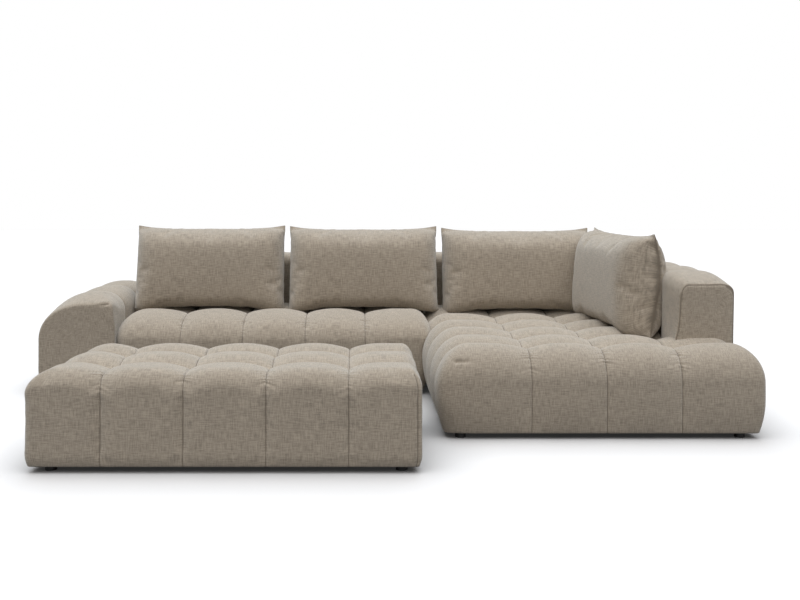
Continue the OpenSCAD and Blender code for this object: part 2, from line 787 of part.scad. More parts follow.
module cushion_form(w, h, front, back, nx, nz) {
    function front_at(i, j) = j * (nx + 1) + i;
    function back_at(i, j) = i == 0 || i == nx || j == 0 || j == nz
        ? front_at(i, j) : (nx + 1) * (nz + 1) + (j - 1) * (nx - 1) + i - 1;
    polyhedron(cushion_points(w, h, front, back, nx, nz),
        [for (j = [0 : nz - 1], i = [0 : nx - 1])
            let (a = front_at(i, j), b = front_at(i, j + 1),
                c = front_at(i + 1, j + 1), d = front_at(i + 1, j),
                e = back_at(i, j), f = back_at(i, j + 1),
                g = back_at(i + 1, j + 1), h = back_at(i + 1, j))
            // The faces are split towards the corner tips, which keeps the tips from going flat
            each (i < nx / 2) == (j < nz / 2)
                ? [[a, b, c], [a, c, d], [e, g, f], [e, h, g]]
                : [[a, b, d], [b, c, d], [e, h, f], [f, h, g]]]);
}

// Turn of a point by a lean backwards and then by a turn about Z
function posed(p, lean, turn) = let (y = p.y * cos(lean) + p.z * sin(lean))
    [p.x * cos(turn) - y * sin(turn), p.x * sin(turn) + y * cos(turn),
        p.z * cos(lean) - p.y * sin(lean)];

// How far a backrest's inner face falls back over its rolled top edge, at a height
function fall_back(z) = let (up = clamp(1 + (z - back_h) / inner_roll, 0, 1))
    inner_roll * (1 - sqrt(1 - up * up));

// How far a cushion's back reaches past its middle towards its backrest, with its middle at
// height z and the backrest in the direction way
back_part = [for (v = [-1 : 0.1 : 1], u = [-1 : 0.1 : 1])
    cushion_point(cushion_w, cushion_h, cushion_back, u, v)];
function reach(z, lean, heading, way) = soft_gap + max([for (p = back_part)
    let (q = posed(p, lean, heading)) q * way - fall_back(q.z + z)]);

// Lowest that a cushion's middle stands over a seat: its tips lie a little below the crest
function lowest_z(crest, lean) = crest - tuft_depth / 4 + cushion_h / 2 * cos(lean);

side_heading = side_turn - 90;
side_cushion_x = side_x - reach(lowest_z(chaise_h, side_lean), side_lean, side_heading, [1, 0, 0]);
side_cushion_y = rest_y - side_cushion_out;
left_cushion_x = seat_x0 + over + cushion_w / 2;
middle_cushion_x = left_cushion_x + cushion_w + cushion_space;
right_cushion_x = middle_cushion_x + cushion_w + cushion_space;

// Height of the seats at a place, from the fullness of the nearest lines
bench_lines_x = [for (l = lines(bench_cols)) [l[0], l[1]]];
bench_lines_y = [for (l = lines(bench_rows)) [l[0], l[1]]];
chaise_lines_x = [for (l = lines(chaise_cols)) [l[0], l[1]]];
chaise_lines_y = [for (l = lines(chaise_rows)) [l[0], l[1]]];
function seat_height(x, y) = x < seat_x1
    ? bench_h - tuft_depth * (1 - puff(lookup(x, bench_lines_x), lookup(y, bench_lines_y)))
    : chaise_h - tuft_depth * (1 - puff(lookup(x, chaise_lines_x), lookup(y, chaise_lines_y)));

// Height of a cushion's middle, so that its lower part just clears the seat under it. The form's
// straight edges pass a little below the curves, which the second gap allows for
lower_part = [for (full = [-cushion_front, cushion_back], v = [-1, -0.97, -0.9, -0.8],
    u = [-1 : 0.05 : 1]) cushion_point(cushion_w, cushion_h, full, u, v)];
function seated_z(x, y, lean, heading) = 2 * soft_gap + max([for (p = lower_part)
    let (q = posed(p, lean, heading)) seat_height(x + q.x, y + q.y) - q.z]);

// Places of the cushions: middle, lean and heading
function back_place(x, crest) = let (
    y = rest_y - reach(lowest_z(crest, cushion_lean), cushion_lean, 0, [0, 1, 0]))
    [[x, y, seated_z(x, y, cushion_lean, 0)], cushion_lean, 0];
left_place = back_place(left_cushion_x, bench_h);
middle_place = back_place(middle_cushion_x, bench_h);
right_place = back_place(right_cushion_x, chaise_h);
side_place = [[side_cushion_x, side_cushion_y,
    seated_z(side_cushion_x, side_cushion_y, side_lean, side_heading)], side_lean, side_heading];

module at_place(place) {
    translate(place[0]) rotate([0, 0, place[2]]) rotate([-place[1], 0, 0]) children();
}

// The filling is smaller than the cover all round, and its edge stops short of the edge seam
module filling_form(gap) {
    cushion_form(cushion_w - 2 * (seam_room + gap), cushion_h - 2 * (seam_room + gap),
        cushion_front - cover_t - gap, cushion_back - cover_t - gap, 8, 6);
}

// Slot for the zip, along the lower edge seam
module zip_box(low, high) {
    translate([-zip_len / 2, -zip_w / 2, low]) cube([zip_len, zip_w, high - low]);
}

zip_low = edge_draw - cushion_h / 2;

module cushion_cover(place) {
    color(fabric) at_place(place) difference() {
        cushion_form(cushion_w, cushion_h, cushion_front, cushion_back, 12, 8);
        filling_form(0);
        zip_box(zip_low - edge_draw, zip_low + seam_room + cover_t);
    }
}

module cushion_filling(place) {
    color("white") at_place(place) filling_form(soft_gap);
}

module cushion_zip(place) {
    color(black) at_place(place) zip_box(zip_low + cover_t / 2, zip_low + seam_room - cover_t);
}

module left_cushion_cover() { cushion_cover(left_place); }
module left_cushion_filling() { cushion_filling(left_place); }
module left_cushion_zip() { cushion_zip(left_place); }
module middle_cushion_cover() { cushion_cover(middle_place); }
module middle_cushion_filling() { cushion_filling(middle_place); }
module middle_cushion_zip() { cushion_zip(middle_place); }
module right_cushion_cover() { cushion_cover(right_place); }
module right_cushion_filling() { cushion_filling(right_place); }
module right_cushion_zip() { cushion_zip(right_place); }
module side_cushion_cover() { cushion_cover(side_place); }
module side_cushion_filling() { cushion_filling(side_place); }
module side_cushion_zip() { cushion_zip(side_place); }

arm_cover();
arm_foam();
arm_frame();
arm_bolts();
bench_cover();
bench_foam();
bench_webbing();
bench_frame();
bench_underlining();
bench_feet();
bench_foot_studs();
bench_back_cover();
bench_back_foam();
bench_back_frame();
bench_back_bolts();
chaise_cover();
chaise_foam();
chaise_webbing();
chaise_frame();
chaise_underlining();
chaise_feet();
chaise_foot_studs();
corner_back_cover();
corner_back_foam();
corner_back_frame();
corner_back_bolts();
side_back_cover();
side_back_foam();
side_back_frame();
side_back_bolts();
joining_plates();
joining_bolts();
ottoman_cover();
ottoman_foam();
ottoman_webbing();
ottoman_frame();
ottoman_underlining();
ottoman_feet();
ottoman_foot_studs();
left_cushion_cover();
left_cushion_filling();
left_cushion_zip();
middle_cushion_cover();
middle_cushion_filling();
middle_cushion_zip();
right_cushion_cover();
right_cushion_filling();
right_cushion_zip();
side_cushion_cover();
side_cushion_filling();
side_cushion_zip();
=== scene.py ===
import math

import bpy
import numpy as np
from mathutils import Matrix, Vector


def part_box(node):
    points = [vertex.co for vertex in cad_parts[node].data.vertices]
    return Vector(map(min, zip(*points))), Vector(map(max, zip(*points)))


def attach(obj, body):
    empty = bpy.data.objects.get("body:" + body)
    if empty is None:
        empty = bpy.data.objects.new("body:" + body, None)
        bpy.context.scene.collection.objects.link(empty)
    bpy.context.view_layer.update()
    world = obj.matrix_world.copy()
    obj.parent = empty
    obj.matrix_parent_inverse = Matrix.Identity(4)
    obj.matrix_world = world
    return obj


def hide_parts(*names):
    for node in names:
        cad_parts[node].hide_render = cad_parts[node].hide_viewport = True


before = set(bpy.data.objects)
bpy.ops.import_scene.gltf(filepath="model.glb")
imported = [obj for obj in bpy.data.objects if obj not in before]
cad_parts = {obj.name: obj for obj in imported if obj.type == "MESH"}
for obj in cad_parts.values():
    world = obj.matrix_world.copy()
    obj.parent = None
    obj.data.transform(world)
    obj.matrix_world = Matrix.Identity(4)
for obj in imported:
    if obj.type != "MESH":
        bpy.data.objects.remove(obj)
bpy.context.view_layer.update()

bl_info = {
    "name": "Corner sofa with ottoman",
    "version": (1, 0, 0),
    "blender": (4, 5, 0),
    "location": "View3D > Sidebar > Sofa",
    "description": "Dresses the corner sofa's frame in its padded covers, cushions and feet",
    "category": "Add Mesh",
}


def limits(node):
    """Lowest and highest corner of a CAD node, as arrays."""
    low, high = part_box(node)
    return np.array(low), np.array(high)


ARM = limits("arm_cover")
BENCH = limits("bench_cover")
BENCH_BACK = limits("bench_back_cover")
CHAISE = limits("chaise_cover")
CORNER_BACK = limits("corner_back_cover")
SIDE_BACK = limits("side_back_cover")
OTTOMAN = limits("ottoman_cover")
FOOT_TOP = float(BENCH[0][2])
# Least divisor, and least distance or share that counts
TINY, NEAR = 1e-9, 1e-6
# Distance of the second mesh line from a seam, as a multiple of the crease
SECOND_LINE = 2.4
# Height of a cover's lower edge that its simulation holds still
HELD_HEIGHT = 0.02


def length_property(name, description, default, least, most):
    return bpy.props.FloatProperty(name=name, description=description, default=default,
                                   min=least, max=most, unit="LENGTH")


def colour_property(name, description, default):
    return bpy.props.FloatVectorProperty(name=name, description=description, default=default,
                                         min=0, max=1, subtype="COLOR")


class SofaSizes(bpy.types.PropertyGroup):
    """Sizes of the padded covers: each with its default, its least and its most."""

    step: length_property(
        "Mesh step", "Distance of the mesh lines on the covers", 0.0117, 0.008, 0.03)
    crease: length_property(
        "Crease", "Half the width of the crease along a seam", 0.004, 0.002, 0.01)
    crease_depth: length_property(
        "Crease depth", "How far a seam is sunk between its pillows", 0.007, 0.0, 0.015)
    tuft_depth: length_property(
        "Tuft depth", "Depth of a tuft below the crest of its pillows", 0.080, 0.02, 0.09)
    pucker_depth: length_property(
        "Pucker depth", "Height of the small folds that run out from a seam", 0.0034, 0.0, 0.008)
    pucker_width: length_property(
        "Pucker width", "Distance between the small folds along a seam", 0.027, 0.015, 0.05)
    tuck: length_property(
        "Tuck", "How far the lower edge of a side draws in", 0.018, 0.0, 0.03)
    tuck_height: length_property(
        "Tuck height", "Height over which the lower edge draws in", 0.12, 0.02, 0.2)
    channel_depth: length_property(
        "Channel depth", "Depth of the channels across the arm and the backrests", 0.026, 0.0, 0.04)
    panel_puff: length_property(
        "Panel fullness", "How far the end panels of arm and backrests stand out", 0.010, 0.0, 0.03)
    swell: length_property(
        "Swell", "How far a point of a cover may swell in the simulation", 0.004, 0.0, 0.03)
    spare_cloth: bpy.props.FloatProperty(
        name="Spare cloth", description="Share of spare cloth that gathers along the seams",
        default=0.012, min=0.0, max=0.1, subtype="FACTOR")
    pressure: bpy.props.FloatProperty(
        name="Pressure", description="Pressure of the filling in the simulation",
        default=4.0, min=0.0, max=10.0)


class SofaColours(bpy.types.PropertyGroup):
    """Colours of the sofa and of the studio floor."""

    yarn_light: colour_property(
        "Light yarn", "Colour of the fabric's light yarn", (0.430, 0.360, 0.277))
    yarn_dark: colour_property(
        "Dark yarn", "Colour of the fabric's dark yarn", (0.198, 0.163, 0.123))
    foot: colour_property("Feet", "Colour of the feet", (0.012, 0.012, 0.012))
    floor: colour_property("Floor", "Colour of the studio floor", (0.780, 0.767, 0.753))


def sizes():
    return bpy.context.scene.sofa_sizes


def colours():
    return bpy.context.scene.sofa_colours


# Meshes

def deselect_all():
    if bpy.context.mode != "OBJECT":
        bpy.ops.object.mode_set(mode="OBJECT")
    bpy.ops.object.select_all(action="DESELECT")


def activate(piece):
    deselect_all()
    piece.select_set(True)
    bpy.context.view_layer.objects.active = piece


def points_of(piece, value="co"):
    """The vertices' places, or their normals if value is "normal"."""
    flat = np.empty(3 * len(piece.data.vertices))
    piece.data.vertices.foreach_get(value, flat)
    return flat.reshape(-1, 3)


def set_points(piece, points):
    piece.data.vertices.foreach_set("co", np.ascontiguousarray(points, dtype=float).ravel())
    piece.data.update()


def mesh_piece(name, points, quads, uv, seam):
    """Object from points and quads, with its UV map in metres and its mark of the seams."""
    mesh = bpy.data.meshes.new(name)
    mesh.from_pydata(points.tolist(), [], quads.tolist())
    mesh.uv_layers.new(name="cloth").data.foreach_set("uv", uv.reshape(-1))
    mesh.attributes.new("seam", "FLOAT", "POINT").data.foreach_set("value", seam.astype(float))
    mesh.update()
    piece = bpy.data.objects.new(name, mesh)
    bpy.context.scene.collection.objects.link(piece)
    return piece


def lattice_shell(xs, ys, zs, solid=None):
    """Outer skin of a block of cells between three sets of lines: its points, its quads and
    the side that each quad faces (0 to 5 for -X, +X, -Y, +Y, -Z, +Z)."""
    shape = (len(xs), len(ys), len(zs))
    cells = np.ones(tuple(n - 1 for n in shape), bool) if solid is None else solid
    cells = np.pad(cells, 1).astype(np.int8)
    number = np.arange(np.prod(shape)).reshape(shape)
    quads, sides = [], []
    for axis in range(3):
        window = tuple(slice(None) if a == axis else slice(1, -1) for a in range(3))
        change = np.diff(cells[window], axis=axis)
        ahead, beside = np.zeros(3, int), np.zeros(3, int)
        ahead[(axis + 1) % 3] = 1
        beside[(axis + 2) % 3] = 1
        for sign in (1, -1):
            corner = np.argwhere(change == sign)
            ring = [corner, corner + ahead, corner + ahead + beside, corner + beside]
            quad = np.stack([number[tuple(c.T)] for c in ring], axis=1)
            quads.append(quad[:, ::-1] if sign == 1 else quad)
            sides.append(np.full(len(quad), 2 * axis + (sign == -1)))
    quads = np.concatenate(quads)
    used, quads = np.unique(quads, return_inverse=True)
    i, j, k = np.unravel_index(used, shape)
    points = np.stack([xs[i], ys[j], zs[k]], axis=1)
    return points, quads.reshape(-1, 4), np.concatenate(sides)


def pillow_lines(edges, step, crease):
    """Mesh lines across a row of pillows, close together beside the seams between them."""
    lines = []
    for k, (start, end) in enumerate(zip(edges, edges[1:])):
        near = [start] if k == 0 else [start, start + crease, start + SECOND_LINE * crease]
        far = [] if k == len(edges) - 2 else [end - SECOND_LINE * crease, end - crease]
        stop = far[0] if far else end
        count = max(2, round((stop - near[-1]) / step))
        lines += near + list(np.linspace(near[-1], stop, count + 1)[1:-1]) + far
    return np.array(lines + [edges[-1]])


def on_seam(values, edges):
    """Which values lie on an inner edge between two pillows."""
    inner = np.asarray(edges[1:-1])
    return np.isclose(np.asarray(values)[:, None], inner[None, :], atol=NEAR).any(axis=1)


def fullness(values, edges):
    """Fullness of the pillows: 0 on a seam, 1 at a pillow's middle and on the outer half of an
    outer pillow."""
    steep = 0.88
    edges = np.asarray(edges)
    k = np.clip(np.searchsorted(edges, values, side="right") - 1, 0, len(edges) - 2)
    s = (values - edges[k]) / (edges[k + 1] - edges[k])
    full = (1 - np.abs(2 * s - 1) ** 2).clip(0) ** steep
    outer = ((k == 0) & (s < 0.5)) | ((k == len(edges) - 2) & (s > 0.5))
    return np.where(outer, 1.0, full)


def smooth_step(t):
    t = np.clip(t, 0, 1)
    return t * t * (3 - 2 * t)


def puckers(values, edges, along):
    """Small folds across the inner seams between pillows, as a fall of the surface. They start
    beside their seam and fade out from it."""
    start, fade = 0.004, 0.028
    s = sizes()
    inner = np.asarray(edges[1:-1])
    near = np.abs(values[:, None] - inner[None, :]).argmin(axis=1)
    far = np.abs(values - inner[near])
    # The folds lean away from their seam, and those of each seam and side start elsewhere
    turn = 2 * math.pi * (along + 0.5 * far) / s.pucker_width
    turn = turn + 2.4 * near + 1.1 * (values > inner[near])
    strength = 0.6 + 0.4 * np.sin(0.23 * turn + 1.7 * near)
    wave = np.sin(turn + 1.3 * np.sin(0.37 * turn + near)) * strength
    return s.pucker_depth * wave * np.exp(-far / fade) * np.clip(far / start, 0, 1)


def block_uv(sharp, quads, sides, low, high):
    """UV map of a block: its top laid flat with its sides folded out round it."""
    p = sharp[quads]
    down = high[2] - p[:, :, 2]
    u, v = p[:, :, 0].copy(), p[:, :, 1].copy()
    side = sides[:, None]
    u = np.where(side == 0, low[0] - down, np.where(side == 1, high[0] + down, u))
    v = np.where(side == 2, low[1] - down, np.where(side == 3, high[1] + down, v))
    v = np.where(side == 4, low[1] - (high[2] - low[2]) - (v - low[1]), v)
    return np.stack([u, v], axis=2)


def finish_cover(piece, body, nodes):
    """Subdivides and smooths a cover, gives it the fabric and puts it in place of its nodes."""
    activate(piece)
    subdivide = piece.modifiers.new("subdivide", "SUBSURF")
    subdivide.levels = subdivide.render_levels = 1
    bpy.ops.object.modifier_apply(modifier=subdivide.name)
    bpy.ops.object.shade_smooth()
    piece.data.materials.append(fabric())
    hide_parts(*nodes)
    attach(piece, body)


def plump(piece, held, swell, spare=None, low=None, high=None):
    """Swells a cover between its held points with a cloth simulation. No point moves further
    than swell, or out of the box between low and high. spare is the share of spare cloth."""
    frames = 20
    s = sizes()
    start = points_of(piece)
    group = piece.vertex_groups.new(name="held")
    group.add(np.flatnonzero(held).tolist(), 1.0, "REPLACE")
    cloth = piece.modifiers.new("plump", "CLOTH")
    settings = cloth.settings
    settings.quality = 5
    settings.mass = 0.3
    settings.tension_stiffness = settings.compression_stiffness = 20
    settings.shear_stiffness = 8
    settings.bending_stiffness = 1.5
    settings.vertex_group_mass = group.name
    settings.use_pressure = True
    settings.uniform_pressure_force = s.pressure
    settings.shrink_min = -(s.spare_cloth if spare is None else spare)
    settings.effector_weights.gravity = 0
    cloth.collision_settings.use_collision = False
    cloth.collision_settings.use_self_collision = False
    cloth.point_cache.frame_start = 1
    cloth.point_cache.frame_end = frames
    for number in range(1, frames + 1):
        bpy.context.scene.frame_set(number)
    activate(piece)
    bpy.ops.object.modifier_apply(modifier=cloth.name)
    bpy.context.scene.frame_set(1)
    move = points_of(piece) - start
    length = np.linalg.norm(move, axis=1, keepdims=True)
    move *= swell * np.tanh(length / swell) / np.maximum(length, TINY)
    points = start + move
    if low is not None:
        points = np.clip(points, low, high)
    set_points(piece, points)
    piece.vertex_groups.clear()


# Tufted seats

# Depth of the top's seams between columns and between rows, as shares of a tuft's depth
COLUMN_SEAM, ROW_SEAM = 0.36, 0.80
# How much squarer than an ellipse the top turns into the front
FRONT_SQUARE = 0.2
# Length over which the loose cushions press the top in
PRESS_RUN = 0.08
# Height above the lower edge over which the seams of a side grow to their full depth
SEAM_RUN = 0.1


def tufted_piece(name, limit, columns, rows, roll, drop, tuck, tuck_height, seam_depth,
                 corner_power, notch=None, corner_seam=None, rear_left=(0.0, 0.0), pressed=None):
    """Tufted block: pillows over the top, and their seams running down the sides. The four
    values of roll, drop, tuck, tuck_height and seam_depth are for the sides facing -X, +X, -Y
    and +Y. The three of corner_power are for the front left corner, the rear left one and the
    others. rear_left is what roll and drop of the left side gain towards the rear. notch is the
    corner from which the rear right part is left out, corner_seam the X of a seam down the
    front. pressed holds the Y from which loose cushions press the top in, and by how much."""
    s = sizes()
    low, high = limit
    xs = pillow_lines(columns, s.step, s.crease)
    if corner_seam is not None:
        beside = corner_seam + s.crease * np.array([-SECOND_LINE, -1, 0, 1])
        xs = np.concatenate([xs[xs < corner_seam - 3 * s.crease], beside, [high[0]]])
    ys = pillow_lines(rows, s.step, s.crease)
    zs = np.linspace(low[2], high[2], round((high[2] - low[2]) / s.step) + 1)
    solid = None
    if notch is not None:
        xs = np.unique(np.append(xs, notch[0]))
        ys = np.unique(np.append(ys, notch[1]))
        middle_x, middle_y = (xs[1:] + xs[:-1]) / 2, (ys[1:] + ys[:-1]) / 2
        away = (middle_x[:, None] > notch[0]) & (middle_y[None, :] > notch[1])
        solid = np.repeat(~away[:, :, None], len(zs) - 1, axis=2)
    sharp, quads, sides = lattice_shell(xs, ys, zs, solid)
    x, y, z = sharp.T
    middle = (low + high) / 2
    left, near = x < middle[0], y < middle[1]
    rearward = smooth_step((y - low[1]) / (high[1] - low[1]))
    left_roll = roll[0] + rear_left[0] * rearward
    reach_x, reach_y = np.where(left, left_roll, roll[1]), np.where(near, roll[2], roll[3])
    core_x = np.clip(x, low[0] + left_roll, high[0] - roll[1])
    core_y = np.clip(y, low[1] + roll[2], high[1] - roll[3])
    way_x, way_y = (x - core_x) / reach_x, (y - core_y) / reach_y
    share = way_y ** 2 / np.maximum(way_x ** 2 + way_y ** 2, TINY)

    def of_side(values):
        along_x, along_y = np.where(left, *values[:2]), np.where(near, *values[2:])
        return share * along_y + (1 - share) * along_x

    reach_z = of_side(drop) + (1 - share) * left * rear_left[1] * rearward
    core_z = np.minimum(z, high[2] - reach_z)
    way_z = (z - core_z) / reach_z
    power = np.where(left, np.where(near, corner_power[0], corner_power[1]), corner_power[2])
    across = (np.abs(way_x) ** power + np.abs(way_y) ** power) ** (1 / power)
    square = 2 + FRONT_SQUARE * share * near
    length = (across ** square + np.abs(way_z) ** square) ** (1 / square)
    out = np.stack([way_x, way_y, way_z], axis=1) / np.maximum(length, TINY)[:, None]
    # Fall of the top's tufts, and of the seams down the sides
    full_x, full_y = fullness(x, columns), fullness(y, rows)
    top_fall = s.tuft_depth * ((1 - full_x) * (1 - full_y) + COLUMN_SEAM * (1 - full_x) * full_y
                               + ROW_SEAM * full_x * (1 - full_y))
    if pressed is not None:
        top_fall = top_fall + pressed[1] * smooth_step((y - pressed[0]) / PRESS_RUN)
    side_full = share * full_x + (1 - share) * full_y
    rise = np.clip((z - low[2]) / SEAM_RUN, 0, 1)
    inward = of_side(tuck) * np.maximum(0, 1 - (z - low[2]) / of_side(tuck_height)) ** 2
    side_fall = of_side(seam_depth) * (1 - side_full) * rise + inward
    turn = smooth_step(np.arctan2(way_z, np.maximum(across, TINY)) / (math.pi / 2))
    # A seam runs on from the top down the side that its row or column meets
    seam_x, seam_y = on_seam(x, columns), on_seam(y, rows)
    bottom = (z < low[2] + NEAR) & (across < 1 - NEAR)
    on_top = (across < NEAR) | (way_z >= 1 - NEAR)
    seam = np.where(on_top, seam_x | seam_y, np.where(share > 0.5, seam_x, seam_y))
    seam = seam.astype(bool) & ~bottom
    if corner_seam is not None:
        seam |= np.isclose(x, corner_seam) & near & (y < low[1] + NEAR) & ~bottom
    fall = side_fall + (top_fall - side_fall) * turn ** 0.7
    fall = fall + s.crease_depth * seam * (0.6 + 0.4 * turn)
    reach = np.stack([reach_x, reach_y, reach_z], axis=1) - fall[:, None]
    point = np.stack([core_x, core_y, core_z], axis=1) \
        + out * reach * np.where(bottom, across, 1.0)[:, None]
    uv = block_uv(sharp, quads, sides, low, high)
    piece = mesh_piece(name, point, quads, uv, seam)
    held = seam | (z < low[2] + HELD_HEIGHT)
    if notch is not None:
        held |= (x > notch[0] - NEAR) & (y > notch[1] - NEAR)
    plump(piece, held, s.swell, low=low, high=high - (0, 0, 0.002))
    return piece


def gather(piece, limit, columns, rows):
    """Small folds that run out from the seams of a tufted cover, mostly over its rolled edges."""
    away, spread, least = 0.03, 0.09, 0.10
    low, high = limit
    corner = np.empty(len(piece.data.loops), int)
    piece.data.loops.foreach_get("vertex_index", corner)
    flat = np.empty(2 * len(corner))
    piece.data.uv_layers["cloth"].data.foreach_get("uv", flat)
    cloth = np.zeros((len(piece.data.vertices), 2))
    cloth[corner] = flat.reshape(-1, 2)
    fall = 0
    for axis, edges in ((0, columns), (1, rows)):
        across, along = cloth[:, axis], cloth[:, 1 - axis]
        start, end = low[1 - axis], high[1 - axis]
        nearest = np.minimum(np.abs(along - start), np.abs(along - end))
        shown = (across > low[axis]) & (across < high[axis])
        shown &= along > start - high[2] + low[2] + HELD_HEIGHT
        edge = least + (1 - least) * np.exp(-((nearest - away) / spread) ** 2)
        fall = fall + shown * edge * puckers(across, edges, along)
    set_points(piece, points_of(piece) - points_of(piece, "normal") * fall[:, None])


def dart(piece, start, end):
    """Sinks a short sewn dart into a cover's front, between two places given as X and Z."""
    depth, width, front_part = 0.010, 0.008, 0.15
    points, normal = points_of(piece), points_of(piece, "normal")
    start = np.array(start)
    line = np.array(end) - start
    seen = points[:, [0, 2]] - start
    share = np.clip(seen @ line / (line @ line), 0, 1)
    away = np.linalg.norm(seen - share[:, None] * line, axis=1)
    front = (normal[:, 1] < -0.2) & (points[:, 1] < points[:, 1].min() + front_part)
    sink = depth * (1 - 0.7 * share) * np.exp(-(away / width) ** 2) * front
    set_points(piece, points - normal * sink[:, None])


def add_tufted(name, body, nodes, limit, columns, rows, **shape):
    """Tufted cover in the fabric, in place of its nodes, with the folds beside its seams."""
    piece = tufted_piece(name, limit, columns, rows, **shape)
    finish_cover(piece, body, nodes)
    gather(piece, limit, columns, rows)
    return piece


class SOFA_OT_add_bench(bpy.types.Operator):
    """Adds the bench's tufted seat: five columns and two rows of pillows"""

    bl_idname = "sofa.add_bench"
    bl_label = "Add bench seat"

    def execute(self, context):
        # The last column swells over the rounded side of the chaise
        low, high = BENCH[0] - (0.012, 0, 0), BENCH[1] + (0.060, 0, 0.010)
        columns = [low[0], -0.976, -0.647, -0.316, 0.002, high[0]]
        rows = [low[1], low[1] + 0.385, high[1]]
        add_tufted("bench_seat", "sofa", ["bench_cover", "bench_foam"], (low, high), columns, rows,
                   roll=(0.155, 0.105, 0.28, 0.075), drop=(0.145, 0.150, 0.155, 0.085),
                   tuck=(0.0, 0.05, 0.02, 0.0), tuck_height=(0.1, 0.2, 0.15, 0.1),
                   seam_depth=(0.012, 0.012, 0.014, 0.0), corner_power=(5, 5, 5),
                   pressed=(0.58, 0.016))
        return {"FINISHED"}


class SOFA_OT_add_chaise(bpy.types.Operator):
    """Adds the chaise's tufted seat, whose seams run down its front and its side"""

    bl_idname = "sofa.add_chaise"
    bl_label = "Add chaise seat"

    def execute(self, context):
        # The side backrest stands in the notch at the rear right
        notch = float(SIDE_BACK[0][0]), float(SIDE_BACK[0][1])
        low, high = CHAISE[0], CHAISE[1] + (0.020, 0, 0)
        columns = np.concatenate([[low[0]], low[0] + 0.415 + 0.326 * np.arange(3), [high[0]]])
        rows = np.concatenate([[low[1]], low[1] + 0.220 + 0.257 * np.arange(5), [high[1]]])
        piece = add_tufted(
            "chaise_seat", "sofa", ["chaise_cover", "chaise_foam"], (low, high), columns, rows,
            roll=(0.165, 0.130, 0.150, 0.075), drop=(0.195, 0.155, 0.165, 0.085),
            tuck=(0.038, 0.022, 0.020, 0.0), tuck_height=(0.19, 0.15, 0.15, 0.1),
            seam_depth=(0.022, 0.012, 0.013, 0.0), corner_power=(5, 5, 12), notch=notch)
        dart(piece, (low[0] + 0.085, low[2] + 0.311), (low[0] + 0.150, low[2] + 0.313))
        return {"FINISHED"}


class SOFA_OT_add_ottoman(bpy.types.Operator):
    """Adds the ottoman's tufted cover: five columns and three rows of pillows"""

    bl_idname = "sofa.add_ottoman"
    bl_label = "Add ottoman"

    def execute(self, context):
        low, high = OTTOMAN[0] - (0.010, 0, 0), OTTOMAN[1]
        inner = np.linspace(low[0] + 0.291, high[0] - 0.281, 4)
        columns = np.concatenate([[low[0]], inner, [high[0]]])
        rows = np.linspace(low[1], high[1], 4)
        add_tufted("ottoman_top", "ottoman", ["ottoman_cover", "ottoman_foam"], (low, high),
                   columns, rows, roll=(0.150, 0.065, 0.080, 0.190),
                   drop=(0.110, 0.075, 0.090, 0.130), tuck=(0.010, 0.010, 0.008, 0.010),
                   tuck_height=(0.06, 0.06, 0.06, 0.06), seam_depth=(0.012, 0.010, 0.009, 0.010),
                   corner_power=(14, 3, 14), corner_seam=high[0] - 0.016,
                   rear_left=(0.055, 0.065))
        return {"FINISHED"}


# Arm and backrests

CHANNEL_SWELL = 0.012
# Height above the floor from which the inner side of an end draws in
DRAW_START = 0.36
# Length over which the inner roll gains
GAIN_RUN = 0.16


